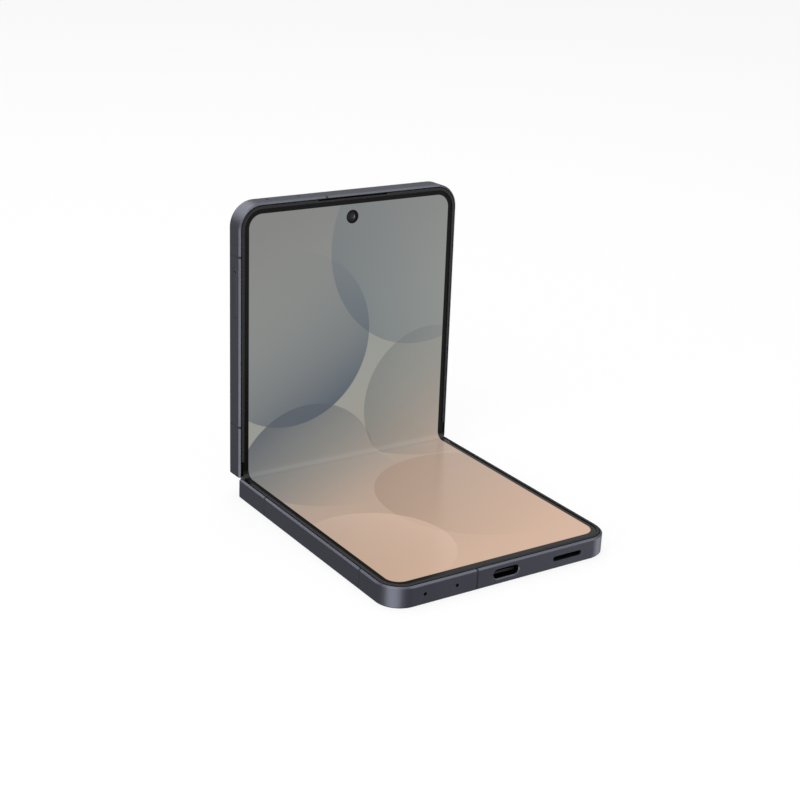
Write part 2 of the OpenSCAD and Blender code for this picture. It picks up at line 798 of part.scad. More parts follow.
module earpiece() color("dimgray") upper() {
    translate([-ear_w / 2, board_end + 0.3, plate_low - 1.8])
        cube([ear_w, room_v - face_gap - board_end - 0.3, 1.75]);
    translate([-ear_w / 2 + face_gap, room_v - 0.25, plate_low - 0.4])
        cube([ear_w - 2 * face_gap, half_len - pocket_wall - face_gap - room_v + 0.2, 0.2]);
}

module main_board() color("darkgreen") upper() in_room() difference() {
    layer(board_z - board_t, board_z) polygon([[-main_board_left, main_board_v],
        [main_board_right, main_board_v], [main_board_right, camera_v - camera_room],
        [main_board_mid, camera_v - camera_room], [main_board_mid, board_end - 6],
        [-board_tongue, board_end - 6], [-board_tongue, board_end], [-main_board_left, board_end],
        [-main_board_left, tray_room_v], [-tray_room, tray_room_v],
        [-tray_room, main_board_step_v], [-main_board_left, main_board_step_v]]);
    screw_holes(upper_bosses);
}

module shield_cans() color("silver") upper() {
    translate([0, 0, board_z - board_t - can_h]) {
        translate([-can_left, main_board_v + 6, 0])
            can(can_left + main_board_right - can_edge, camera_v - camera_room - main_board_v - 7);
        translate([-small_can_left, tray_room_v + 1, 0])
            can(small_can_left - can_left - 0.6, board_end - small_can_end - tray_room_v - 1);
    }
}

// A shield: a shallow tray of thin sheet, open towards the board.
module can(length, depth) difference() {
    cube([length, depth, can_h]);
    translate([can_wall, can_wall, can_wall])
        cube([length - 2 * can_wall, depth - 2 * can_wall, can_h]);
}

module upper_battery() color("dimgray") upper()
    battery(battery_start, upper_battery_v);

module rear_camera_modules() color("dimgray") upper() for (x = camera_x)
    translate([x, camera_v, 0]) {
        translate([-camera_block / 2, -camera_block / 2, cover_top + panel_t + 0.1])
            cube([camera_block, camera_block, plate_low - cover_top - panel_t - 0.15]);
        translate([0, 0, -half_t - camera_ring_h + 0.75])
            cylinder(r = camera_sleeve_r - camera_ring_wall - 0.1, h = 2);
    }

module camera_rings() color("silver") upper() for (x = camera_x)
    translate([x, camera_v, 0]) difference() {
        union() {
            translate([0, 0, -half_t - camera_ring_h]) cylinder(r1 = camera_ring_r - 0.25,
                r2 = camera_ring_r, h = 0.25);
            translate([0, 0, -half_t - camera_ring_h + 0.25])
                cylinder(r = camera_ring_r, h = camera_ring_h - 0.25);
            translate([0, 0, -half_t - 0.1]) cylinder(r = camera_sleeve_r, h = cover_t + 0.1);
        }
        translate([0, 0, -half_t - camera_ring_h - 1]) cylinder(r = camera_glass_r, h = 1.65);
        translate([0, 0, -half_t - camera_ring_h]) cylinder(r = camera_sleeve_r - camera_ring_wall, h = 5);
    }

module camera_lens_glasses() color([0.1, 0.1, 0.15]) upper() for (x = camera_x)
    translate([x, camera_v, -half_t - camera_ring_h + 0.15])
        cylinder(r = camera_glass_r - screw_gap, h = 0.5);

module flash() color("white") upper() translate([flash_x, camera_v, -half_t])
    cylinder(r = flash_r, h = cover_t + panel_t);

module card_reader() color("silver") upper()
    translate([-half_w + rail_t + face_gap, tray_v - tray_plate_w / 2 - reader_gap - reader_wall,
        plate_low - reader_h]) difference() {
        cube([tray_depth + 0.6, tray_plate_w + 2 * reader_gap + 2 * reader_wall, reader_h - 0.05]);
        translate([-1, reader_wall, tray_depth_w - tray_plate_t / 2 - reader_gap - plate_low + reader_h])
            cube([tray_depth + 1, tray_plate_w + 2 * reader_gap, tray_plate_t + 2 * reader_gap]);
    }

module key_switches() color("silver") upper() in_room() {
    key_switch(side_key_v, [0], key_travel + 0.02);
    key_switch(volume_key_v, [-rocker_reach, rocker_reach], rocker_gap);
}

// A switch block on the plate, with a dome in front of each place in offsets.
module key_switch(v, offsets, gap) {
    length = switch_len + offsets[len(offsets) - 1] - offsets[0];
    translate([switch_x, v - length / 2, key_z - 1.2])
        cube([switch_t, length, plate_low - face_gap - key_z + 1.2]);
    for (o = offsets) translate([switch_x + switch_t, v + o, key_z]) rotate([0, 90, 0])
        cylinder(r = dome_r, h = flange_x - gap - switch_x - switch_t);
}

module upper_rail_breaks() color([0.2, 0.21, 0.24]) upper() difference() {
    half_breaks(upper_left_break_v, upper_right_break_v, upper_break_x);
    ear_slot();
}

module upper_screws() color("silver") upper() half_screws(upper_bosses, upper_arm_x);

module upper_microphones() color("silver") upper()
    microphones(-upper_mic_depth);

module upper_curved_rails() color("silver") upper() mirror([0, 1, 0])
    curved_rails(
        [module_end - x_groove_2 - groove_band, module_end - x_groove_2],
        [module_end - x_groove_2, module_end - x_tooth_2],
        upper_arm_x, 180 - upper_arc_a);

module upper_wing_plate() color("gray") upper() wing_plate();

// ---------- Moving parts of the upper half ----------

module card_tray() color(lower_colour) upper()
    translate([-half_w, tray_v, tray_depth_w]) difference() {
        union() {
            rotate([0, 90, 0]) rotate([0, 0, 90]) linear_extrude(tray_head_t) stadium(tray_w, tray_h);
            translate([tray_head_t - eps, -tray_plate_w / 2, -tray_plate_t / 2])
                cube([tray_depth - tray_head_t, tray_plate_w, tray_plate_t]);
        }
        translate([4, -tray_plate_w / 2 + 0.7, -tray_plate_t / 2 + 0.15]) cube([12.3, 8.8, 3]);
        translate([-1, tray_w / 2 - 1.4, 0]) rotate([0, 90, 0]) cylinder(r = eject_r, h = 10);
    }

// A key's head with its flange behind the rail.
module key(v, length) translate([0, v, key_z]) rotate([0, 90, 0]) rotate([0, 0, 90]) {
    translate([0, 0, flange_x + key_flange_t - eps])
        linear_extrude(half_w + key_proud - flange_x - key_flange_t + eps) stadium(length, key_h);
    translate([0, 0, flange_x]) linear_extrude(key_flange_t)
        stadium(length + 2 * key_flange, key_h + 2 * key_flange);
}

module side_key() color(lower_colour) upper() key(side_key_v, side_key_w);

module volume_key() color(lower_colour) upper() key(volume_key_v, volume_key_w);

// ---------- Spine ----------

// Section of the spine: an arc about each fold axis, cut flat at the bottom.
module spine_section(r, drop, top) intersection() {
    union() {
        for (side = [-1, 1]) translate([side * axis_offset, -axis_depth]) circle(r = r);
        translate([-axis_offset, -axis_depth - r]) square([2 * axis_offset, 2 * r]);
    }
    translate([-half_t * 2, -drop]) square([half_t * 4, drop + top]);
}

module spine_cover() color(lower_colour) spine() along_x(-cover_x, cover_x) difference() {
    spine_section(spine_r, spine_drop, cover_edge);
    spine_section(spine_r - spine_wall, spine_drop - spine_wall, 1);
}

module block_section() {
    spine_section(spine_r - spine_wall - face_gap, spine_drop - spine_wall, block_top);
}

module axle_bore(i) { translate([gear_y[i], gear_z]) circle(r = axle_r + axle_clear); }

module gear_bore(i) { translate([gear_y[i], gear_z]) circle(r = pinion_r + tooth_top + 0.1); }

// Cut for the arm that carries a curved rail over the spine's edge.
module arm_slot() {
    translate([-half_t * 2, cover_edge]) square([half_t * 2 - axis_offset - core_r, half_t]);
}

module groove_cut() {
    translate([-axis_offset, -axis_depth]) difference() {
        circle(r = groove_r);
        circle(r = core_r);
    }
    arm_slot();
    axle_bore(0);
}

module tooth_cut() {
    translate([-axis_offset, -axis_depth]) circle(r = groove_r);
    arm_slot();
}

module web_cut() {
    gear_bore(0);
    for (i = [1:3]) axle_bore(i);
}

module gear_cut() {
    for (i = [0, 3]) gear_bore(i);
    translate([gear_y[0], gear_z - pinion_r - tooth_top - 0.1])
        square([gear_y[3] - gear_y[0], 2 * (pinion_r + tooth_top + 0.1)]);
}

// One band of a hinge block between two distances from the module's outer end.
module band(x0, x1) {
    along_x(module_end - x1, module_end - x0) difference() {
        block_section();
        children();
    }
}

module hinge_blocks() color("gray") spine() both_sides() difference() {
    union() {
        band(0, x_groove) axle_bore(0);
        band(x_groove, x_tooth - band_gap) groove_cut();
        band(x_tooth - band_gap, x_web) tooth_cut();
        band(x_web, x_gear) web_cut();
        band(x_gear, x_web_2) gear_cut();
        band(x_web_2, x_tooth_2 - band_gap) mirror([1, 0]) web_cut();
        band(x_tooth_2 - band_gap, x_groove_2 + band_gap) mirror([1, 0]) tooth_cut();
        band(x_groove_2 + band_gap, x_wall_2) mirror([1, 0]) groove_cut();
        band(x_wall_2, module_len) mirror([1, 0]) axle_bore(0);
    }
    translate([module_end - cap_screw_len, cap_screw_y, cap_screw_z]) rotate([0, 90, 0])
        cylinder(r = screw_r + screw_gap, h = cap_screw_len + 1);
}

module fold_support() color("gray") spine()
    translate([-wing_x - 4, -axis_offset + 0.15, block_top])
        cube([2 * wing_x + 8, 2 * axis_offset - 0.3, fold_plate_t]);

// Section of an end cap: the spine's outline, with a middle that rises to the blocks' height.
module cap_section() {
    spine_section(spine_r, spine_drop, cover_edge);
    spine_section(cap_r, spine_drop, block_top);
}

module spine_end_caps() color(black) spine() both_sides() difference() {
    union() {
        along_x(cover_x, spine_x) cap_section();
        along_x(module_end, cover_x) intersection() {
            block_section();
            spine_section(cap_r, spine_drop, block_top);
        }
    }
    translate([module_end - 1, cap_screw_y, cap_screw_z]) rotate([0, 90, 0])
        cylinder(r = screw_r + screw_gap, h = half_w);
    translate([spine_x - screw_head_h - face_gap, cap_screw_y, cap_screw_z]) rotate([0, 90, 0])
        cylinder(r = screw_head_r + screw_gap, h = half_w);
}

module spine_screws() color("silver") spine() both_sides()
    translate([spine_x - screw_head_h - face_gap, cap_screw_y, cap_screw_z])
        rotate([0, -90, 0]) screw(cap_screw_len + 0.3);

// A small gear on its axle: the gear spans gear_x, the axle spans axle_x, both from the outer end.
module small_gear(i, angle, turn, gear_x, axle_x) {
    both_sides() {
        along_x(module_end - gear_x[1], module_end - gear_x[0]) translate([gear_y[i], gear_z])
            rotate(angle + turn * half_turn * gear_ratio) pinion_shape();
        along_x(module_end - axle_x[1], module_end - axle_x[0]) translate([gear_y[i], gear_z])
            circle(r = axle_r);
    }
}

module lower_pinions() color("gold") spine()
    small_gear(0, lower_pinion_a, -1, [x_tooth, x_web_2 - band_gap],
        [band_gap, x_tooth_2 - 2 * band_gap]);

module lower_idlers() color("gold") spine()
    small_gear(1, lower_idler_a, 1, idler_x, idler_axle_x);

module upper_idlers() color("gold") spine()
    small_gear(2, upper_idler_a, -1, idler_x, idler_axle_x);

module upper_pinions() color("gold") spine()
    small_gear(3, upper_pinion_a, 1, [x_gear + band_gap, x_groove_2],
        [x_web + band_gap, module_len - band_gap]);

// ---------- Pieces that bend across the fold ----------

bend_steps = 24;

// Distance from the fold line at which two layers at height w meet, at rest.
function meet_v(w) =
    axis_offset - (axis_offset - (w + axis_depth) * sin(half_turn)) / cos(half_turn);

// Points at radius r round the middle of a bend, with a straight stretch beyond each end of it.
function bent_line(centre, r, reach) = concat(
    [centre + [-reach, -r]],
    [for (i = [0:bend_steps]) centre + polar(r, 270 + 2 * half_turn * i / bend_steps)],
    [centre + polar(r, 270 + 2 * half_turn) + polar(reach, 2 * half_turn)]);

function backwards(points) = [for (i = [len(points) - 1:-1:0]) points[i]];

// A bent strip: top face at height w, thickness t, inner radius r, out to end_v on both halves.
module bent_strip(x0, x1, w, t, r, end_v) {
    start_v = meet_v(w) + r * tan(half_turn);
    centre = [half_len / 2 - start_v, half_t + w + r];
    along_x(x0, x1) polygon(concat(bent_line(centre, r + t, end_v - start_v),
        backwards(bent_line(centre, r, end_v - start_v))));
}

module display_fold() color("tan")
    bent_strip(-half_w + display_inset, half_w - display_inset, 0, display_t, bend_r, flex_start);

module hinge_flex() color([0.75, 0.5, 0.2])
    bent_strip(-12, -2, flex_w, 0.1, 1.5, 14.5);

lower_frame();
lower_back_cover();
lower_trim();
lower_display();
lower_display_sheet();
lower_battery();
sub_board();
usb_socket_shell();
usb_socket_tongue();
loudspeaker();
vibration_motor();
charging_coil();
lower_rail_breaks();
lower_screws();
lower_microphones();
lower_curved_rails();
lower_wing_plate();
upper_frame();
cover_glass();
cover_display();
upper_trim();
upper_display();
upper_display_sheet();
front_camera();
earpiece();
main_board();
shield_cans();
upper_battery();
rear_camera_modules();
camera_rings();
camera_lens_glasses();
flash();
card_reader();
key_switches();
upper_rail_breaks();
upper_screws();
upper_microphones();
upper_curved_rails();
upper_wing_plate();
card_tray();
side_key();
volume_key();
spine_cover();
hinge_blocks();
fold_support();
spine_end_caps();
spine_screws();
lower_pinions();
lower_idlers();
upper_idlers();
upper_pinions();
display_fold();
hinge_flex();
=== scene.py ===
# %% [markdown]
# # A folding phone, from its frame to its finish
# The phone stands half open: the lower half lies on its back and the upper half stands up from the
# fold. Its working parts come ready made from the frame: rails, hinge, gears, boards and cameras.
# This lesson gives them their edges and finishes, and models by hand the pieces whose form is softer:
# the bending display, the rims round it, the lower glass back and what sits in the openings.
# Everything is in metres, in the frame's own place, so no piece needs fitting afterwards.

# %% Load the frame
import bmesh
import bpy
import json
import math
from mathutils import Matrix, Vector


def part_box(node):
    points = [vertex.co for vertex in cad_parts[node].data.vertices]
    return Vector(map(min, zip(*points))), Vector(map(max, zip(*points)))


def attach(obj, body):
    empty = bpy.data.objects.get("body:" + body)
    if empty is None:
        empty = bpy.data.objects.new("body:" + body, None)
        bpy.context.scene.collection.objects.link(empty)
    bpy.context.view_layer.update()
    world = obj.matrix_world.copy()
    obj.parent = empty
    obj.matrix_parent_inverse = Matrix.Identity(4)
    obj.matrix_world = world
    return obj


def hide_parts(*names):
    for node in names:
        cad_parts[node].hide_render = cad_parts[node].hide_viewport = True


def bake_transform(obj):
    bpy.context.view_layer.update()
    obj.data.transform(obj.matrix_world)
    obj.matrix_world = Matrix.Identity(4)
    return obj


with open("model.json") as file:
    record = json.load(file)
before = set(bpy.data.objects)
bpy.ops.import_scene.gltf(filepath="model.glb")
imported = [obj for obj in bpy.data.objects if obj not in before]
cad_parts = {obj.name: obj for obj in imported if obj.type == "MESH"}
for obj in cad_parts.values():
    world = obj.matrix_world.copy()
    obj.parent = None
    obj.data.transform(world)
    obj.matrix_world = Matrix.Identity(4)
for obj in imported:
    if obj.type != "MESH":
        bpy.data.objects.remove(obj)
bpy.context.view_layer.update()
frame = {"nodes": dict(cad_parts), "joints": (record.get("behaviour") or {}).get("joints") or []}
nodes = frame["nodes"]
MM = 0.001
print("pieces in the frame:", len(nodes))

# %% [markdown]
# ## Where things are
# The frame's own boxes and joints give every size that the new pieces share with the old ones.
# Each half turns about an axis of its own, and the line from one axis to the other tilts by half of
# the angle that the phone is folded. New pieces are modelled laid flat, with the fold line at Y = 0,
# the lower half towards -Y, the upper half towards +Y and the display face at Z = 0. One matrix for
# each half then puts a finished piece in its place.

# %% Sizes and places from the frame
frame_low, frame_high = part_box("lower_frame")
HALF_W = frame_high.x
HALF_T = frame_high.z
HALF_LEN = -2 * frame_low.y
joints = {joint["name"]: joint for joint in frame["joints"]}
lower_axis = Vector(joints["lower_fold"]["pos_m"])
upper_axis = Vector(joints["upper_fold"]["pos_m"])
between_axes = upper_axis - lower_axis
FOLD_TURN = math.atan2(between_axes.z, between_axes.y)
AXIS_OFFSET = between_axes.length / 2
AXIS_DEPTH = HALF_T - lower_axis.z

LOWER = Matrix.Translation((0, HALF_LEN / 2, HALF_T))
UPPER = (
    Matrix.Translation(upper_axis)
    @ Matrix.Rotation(2 * FOLD_TURN, 4, "X")
    @ Matrix.Translation((0, -AXIS_OFFSET, AXIS_DEPTH))
)
print("half:", round(2 * HALF_W / MM, 2), "x", round(HALF_LEN / MM, 2), "mm")
print("opened to", round(180 - math.degrees(2 * FOLD_TURN), 1), "degrees")

# %% [markdown]
# ## The camera
# A long lens from the left and a little above keeps the two halves nearly parallel. The camera is
# placed by three turns, as on a tripod head: round the upright axis, down, and a small roll.

# %% Camera
CAMERA_PLACE = Vector((-241.0, -339.05, 193.7)) * MM
CAMERA_HEADING = -34.37
CAMERA_TILT = 69.54
CAMERA_ROLL = 2.74
LENS = 70.4
SENSOR_W = 36
CLIP_START = 0.01

camera_data = bpy.data.cameras.new("camera")
camera_data.lens = LENS
camera_data.sensor_width = SENSOR_W
camera_data.clip_start = CLIP_START
camera = bpy.data.objects.new("camera", camera_data)
bpy.context.scene.collection.objects.link(camera)
camera.matrix_world = (
    Matrix.Translation(CAMERA_PLACE)
    @ Matrix.Rotation(math.radians(CAMERA_HEADING), 4, "Z")
    @ Matrix.Rotation(math.radians(CAMERA_TILT), 4, "X")
    @ Matrix.Rotation(math.radians(CAMERA_ROLL), 4, "Z")
)
bpy.context.scene.camera = camera

# %% [markdown]
# ## Helpers for modelling by hand
# Every new piece starts as a primitive and is shaped in edit mode. An operator acts on all that is
# selected, so a piece begins with nothing selected, and its faces, edges and corners are picked by
# where they are. At the end its place is applied to its mesh, and its object stays at the origin.

# %% Helpers for modelling
FACING_LIMIT = 0.9


def deselect_all():
    if bpy.context.object and bpy.context.object.mode != "OBJECT":
        bpy.ops.object.mode_set(mode="OBJECT")
    bpy.ops.object.select_all(action="DESELECT")


def make_active(piece):
    deselect_all()
    piece.select_set(True)
    bpy.context.view_layer.objects.active = piece


def begin(name):
    """Names the primitive that was just added and opens it in edit mode."""
    piece = bpy.context.object
    piece.name = name
    piece.data.name = name
    bpy.ops.object.transform_apply(location=True, rotation=True, scale=True)
    bpy.ops.object.mode_set(mode="EDIT")
    return piece


def pick(kind, test):
    """Selects the corners (VERT) or the edges (EDGE) whose place passes the test."""
    bpy.ops.mesh.select_all(action="DESELECT")
    bpy.ops.mesh.select_mode(type=kind)
    mesh = bmesh.from_edit_mesh(bpy.context.edit_object.data)
    if kind == "VERT":
        for corner in mesh.verts:
            corner.select_set(test(corner.co))
    else:
        for edge in mesh.edges:
            first, second = edge.verts
            edge.select_set(test((first.co + second.co) / 2))
    bmesh.update_edit_mesh(bpy.context.edit_object.data)


def pick_faces_facing(direction):
    """Selects the faces that look a given way, give or take some 25 degrees."""
    bpy.ops.mesh.select_all(action="DESELECT")
    bpy.ops.mesh.select_mode(type="FACE")
    mesh = bmesh.from_edit_mesh(bpy.context.edit_object.data)
    mesh.normal_update()
    for face in mesh.faces:
        face.select_set(face.normal.dot(Vector(direction)) > FACING_LIMIT)
    bmesh.update_edit_mesh(bpy.context.edit_object.data)


def settle(piece, place, smooth_angle=40):
    """Closes edit mode, puts the piece in its place, and smooths its round faces."""
    make_active(piece)
    piece.data.transform(place)
    piece.matrix_world = Matrix.Identity(4)
    bpy.ops.object.shade_smooth_by_angle(angle=math.radians(smooth_angle))
    return piece


def apply_modifier(piece, kind, **settings):
    """Adds a modifier with its settings and applies it at once."""
    make_active(piece)
    modifier = piece.modifiers.new(kind.lower(), kind)
    for setting, value in settings.items():
        setattr(modifier, setting, value)
    bpy.ops.object.modifier_apply(modifier=modifier.name)


def cut_away(piece, tool):
    """Subtracts a tool mesh from a piece and removes the tool."""
    apply_modifier(piece, "BOOLEAN", object=tool, operation="DIFFERENCE", solver="EXACT")
    bpy.data.objects.remove(tool)


def join(parts):
    """Joins several pieces into the first of them."""
    make_active(parts[0])
    for part in parts[1:]:
        part.select_set(True)
    bpy.ops.object.join()
    return parts[0]


# %% [markdown]
# ## Helpers for materials
# A material here is a Principled shader fed by a few pattern nodes. The patterns that several
# finishes share are node groups, built once: a fine grain, slow smudges, and brushed lines. They
# read Object coordinates, which on these pieces are the place in the frame, so a pattern runs on
# from one piece to the next and doesn't slide when a half turns.

# %% Helpers for materials
def add_node(tree, kind, **settings):
    """Adds a node; a setting that names an input sets it, any other sets the node itself."""
    node = tree.nodes.new(kind)
    for setting, value in settings.items():
        socket_name = setting.replace("_", " ")
        if socket_name in node.inputs:
            node.inputs[socket_name].default_value = value
        else:
            setattr(node, setting, value)
    return node


def new_group(name, inputs, outputs):
    """A node group with named number, colour or vector sockets; returns it with its two ends."""
    group = bpy.data.node_groups.new(name, "ShaderNodeTree")
    kinds = {"value": "NodeSocketFloat", "color": "NodeSocketColor", "vector": "NodeSocketVector"}
    for socket_name, (kind, start) in inputs.items():
        socket = group.interface.new_socket(socket_name, in_out="INPUT", socket_type=kinds[kind])
        socket.default_value = start
    for socket_name, kind in outputs.items():
        group.interface.new_socket(socket_name, in_out="OUTPUT", socket_type=kinds[kind])
    start_node = group.nodes.new("NodeGroupInput")
    end_node = group.nodes.new("NodeGroupOutput")
    return group, start_node, end_node


def place_group(tree, group, **values):
    """Places a node group and sets its inputs; an underscore stands for a space."""
    node = tree.nodes.new("ShaderNodeGroup")
    node.node_tree = group
    for setting, value in values.items():
        node.inputs[setting.replace("_", " ")].default_value = value
    return node


def math_node(tree, operation, first, second=None, third=None, clamp=False):
    """A maths node on numbers or sockets; gives its output socket."""
    node = tree.nodes.new("ShaderNodeMath")
    node.operation = operation
    node.use_clamp = clamp
    for index, value in enumerate((first, second, third)):
        if value is None:
            continue
        if isinstance(value, (int, float)):
            node.inputs[index].default_value = value
        else:
            tree.links.new(value, node.inputs[index])
    return node.outputs[0]


def from_srgb(red, green, blue):
    """A colour written as it looks on a screen, 0 to 255, as the linear values that nodes take."""
    def linear(part):
        part = part / 255
        return part / 12.92 if part <= 0.04045 else ((part + 0.055) / 1.055) ** 2.4
    return (linear(red), linear(green), linear(blue), 1)


# Anodised and ground metal doesn't turn white towards its edges as a polished one does.
METAL_EDGE_TINT = (0.6, 0.6, 0.6, 1)


def new_material(name, color, roughness, metallic=0, specular=0.5):
    material = bpy.data.materials.new(name)
    material.use_nodes = True
    tree = material.node_tree
    shader = tree.nodes["Principled BSDF"]
    shader.inputs["Base Color"].default_value = color
    shader.inputs["Roughness"].default_value = roughness
    shader.inputs["Metallic"].default_value = metallic
    shader.inputs["Specular IOR Level"].default_value = specular
    if metallic:
        shader.inputs["Specular Tint"].default_value = METAL_EDGE_TINT
    return material, tree, shader


# %% [markdown]
# ### Shared surface patterns
# Bead blasting leaves a grain a few hundredths of a millimetre wide. Hands and cloths leave slow
# changes in gloss. Ground steel has long scratches in one direction. Each is noise at its own scale.

# %% Surface pattern groups
NOISE_LOW = 0.35
NOISE_HIGH = 0.65


def make_grain_group():
    group, start, end = new_group(
        "fine_grain",
        {"Scale": ("value", 20000), "Contrast": ("value", 0.1)},
        {"Height": "value", "Shade": "value"},
    )
    place = group.nodes.new("ShaderNodeTexCoord")
    noise = add_node(group, "ShaderNodeTexNoise", Detail=2)
    group.links.new(place.outputs["Object"], noise.inputs["Vector"])
    group.links.new(start.outputs["Scale"], noise.inputs["Scale"])
    group.links.new(noise.outputs["Fac"], end.inputs["Height"])
    swing = math_node(group, "SUBTRACT", noise.outputs["Fac"], 0.5)
    swing = math_node(group, "MULTIPLY", swing, start.outputs["Contrast"])
    group.links.new(math_node(group, "ADD", swing, 1), end.inputs["Shade"])
    return group


def make_smudge_group():
    group, start, end = new_group(
        "smudges",
        {"Scale": ("value", 60), "Low": ("value", 0.3), "High": ("value", 0.4)},
        {"Roughness": "value"},
    )
    place = group.nodes.new("ShaderNodeTexCoord")
    noise = add_node(group, "ShaderNodeTexNoise", Detail=4, Roughness=0.55, Distortion=0.4)
    group.links.new(place.outputs["Object"], noise.inputs["Vector"])
    group.links.new(start.outputs["Scale"], noise.inputs["Scale"])
    spread = add_node(group, "ShaderNodeMapRange")
    spread.inputs["From Min"].default_value = NOISE_LOW
    spread.inputs["From Max"].default_value = NOISE_HIGH
    group.links.new(noise.outputs["Fac"], spread.inputs["Value"])
    group.links.new(start.outputs["Low"], spread.inputs["To Min"])
    group.links.new(start.outputs["High"], spread.inputs["To Max"])
    group.links.new(spread.outputs["Result"], end.inputs["Roughness"])
    return group


def make_brushed_group():
    group, start, end = new_group(
        "brushed_lines",
        {"Stretch": ("vector", (300, 9000, 9000)), "Low": ("value", 0.25), "High": ("value", 0.4)},
        {"Height": "value", "Roughness": "value"},
    )
    place = group.nodes.new("ShaderNodeTexCoord")
    stretched = add_node(group, "ShaderNodeVectorMath", operation="MULTIPLY")
    group.links.new(place.outputs["Object"], stretched.inputs[0])
    group.links.new(start.outputs["Stretch"], stretched.inputs[1])
    noise = add_node(group, "ShaderNodeTexNoise", Scale=1, Detail=3)
    group.links.new(stretched.outputs[0], noise.inputs["Vector"])
    spread = add_node(group, "ShaderNodeMapRange")
    group.links.new(noise.outputs["Fac"], spread.inputs["Value"])
    group.links.new(start.outputs["Low"], spread.inputs["To Min"])
    group.links.new(start.outputs["High"], spread.inputs["To Max"])
    group.links.new(spread.outputs["Result"], end.inputs["Roughness"])
    group.links.new(noise.outputs["Fac"], end.inputs["Height"])
    return group


SCRATCH_DEPTH = 0.003 * MM
GRAIN = make_grain_group()
SMUDGES = make_smudge_group()
BRUSHED = make_brushed_group()


def add_bump(tree, shader, height, distance):
    bump = add_node(tree, "ShaderNodeBump", Strength=1, Distance=distance)
    tree.links.new(height, bump.inputs["Height"])
    tree.links.new(bump.outputs["Normal"], shader.inputs["Normal"])


def tint(tree, shader, color, shade):
    """Multiplies a colour by a changing shade and feeds it to the base colour."""
    mixer = add_node(tree, "ShaderNodeVectorMath", operation="SCALE")
    mixer.inputs[0].default_value = color[:3]
    tree.links.new(shade, mixer.inputs["Scale"])
    tree.links.new(mixer.outputs[0], shader.inputs["Base Color"])


def grained(name, color, roughness, metallic=0, scale=20000, contrast=0.25, depth=0.004 * MM,
            smudge=0.06, specular=0.5):
    """A surface with a fine grain and slow changes in gloss: blasted metal, moulded plastic."""
    material, tree, shader = new_material(name, color, roughness, metallic, specular)
    grain = place_group(tree, GRAIN, Scale=scale, Contrast=contrast)
    tint(tree, shader, color, grain.outputs["Shade"])
    add_bump(tree, shader, grain.outputs["Height"], depth)
    smudges = place_group(tree, SMUDGES, Low=roughness - smudge, High=roughness + smudge)
    tree.links.new(smudges.outputs["Roughness"], shader.inputs["Roughness"])
    return material


def brushed(name, color, low, high, stretch=(300, 9000, 9000)):
    """Ground or drawn metal with long scratches."""
    material, tree, shader = new_material(name, color, low, 1)
    lines = place_group(tree, BRUSHED, Stretch=stretch, Low=low, High=high)
    tree.links.new(lines.outputs["Roughness"], shader.inputs["Roughness"])
    add_bump(tree, shader, lines.outputs["Height"], SCRATCH_DEPTH)
    return material


# %% [markdown]
# ### The finishes
# The rails are aluminium, blasted and anodised a dark blue-grey: metal with a dark base colour and
# medium roughness, so that it mirrors only broad light. The breaks in the rails are plastic, so they
# show as slightly darker, duller lines.

# %% The finishes and the pieces that they go on
rail_metal = grained("rail_aluminium", from_srgb(61, 62, 69), 0.42, metallic=1, contrast=0.12,
                     smudge=0.03, depth=0.0012 * MM)
break_plastic = grained("rail_break_plastic", from_srgb(36, 37, 43), 0.5, contrast=0.1,
                        specular=0.08)
trim_soft = grained("trim_soft", from_srgb(42, 42, 42), 0.6, scale=12000, contrast=0.15,
                    smudge=0.04, specular=0.05)
# Painted shade: the rim's foot is near black for the shadow deep in its groove and in the pocket
# beside the fold.
foot_painted_shade = grained("trim_foot_painted_shade", from_srgb(12, 12, 12), 0.6, contrast=0.15, specular=0.05)
cap_plastic = grained("cap_plastic", from_srgb(16, 16, 17), 0.5, contrast=0.2, specular=0.25)
back_glass = grained("back_cover_glass", from_srgb(66, 69, 80), 0.42, contrast=0.08, smudge=0.05)
hinge_steel = brushed("hinge_steel", (0.4, 0.4, 0.42, 1), 0.28, 0.42)
display_steel = brushed("display_steel", (0.45, 0.45, 0.46, 1), 0.3, 0.45)
socket_steel = brushed("socket_steel", (0.3, 0.3, 0.31, 1), 0.25, 0.4, stretch=(9000, 300, 9000))
socket_dark = brushed("socket_dark", (0.02, 0.02, 0.022, 1), 0.35, 0.5, stretch=(9000, 300, 9000))
gear_brass = grained("gear_brass", (0.6, 0.43, 0.18, 1), 0.3, metallic=1, contrast=0.15)
battery_film = grained("battery_film", (0.1, 0.1, 0.105, 1), 0.45, contrast=0.2)
board_mask = grained("board_mask", (0.015, 0.08, 0.045, 1), 0.38, scale=4000, contrast=0.5)
module_plastic = grained("module_plastic", (0.045, 0.045, 0.05, 1), 0.5, contrast=0.25)
flex_film = grained("flex_film", (0.45, 0.25, 0.08, 1), 0.35, scale=6000, contrast=0.15)
coil_copper = grained("coil_copper", (0.65, 0.3, 0.14, 1), 0.35, metallic=1)
flash_lens = grained("flash_diffuser", (0.8, 0.76, 0.62, 1), 0.3, scale=3000, contrast=0.1)
opening_black = grained("opening_black", from_srgb(9, 9, 10), 0.7, contrast=0.3, specular=0.2)

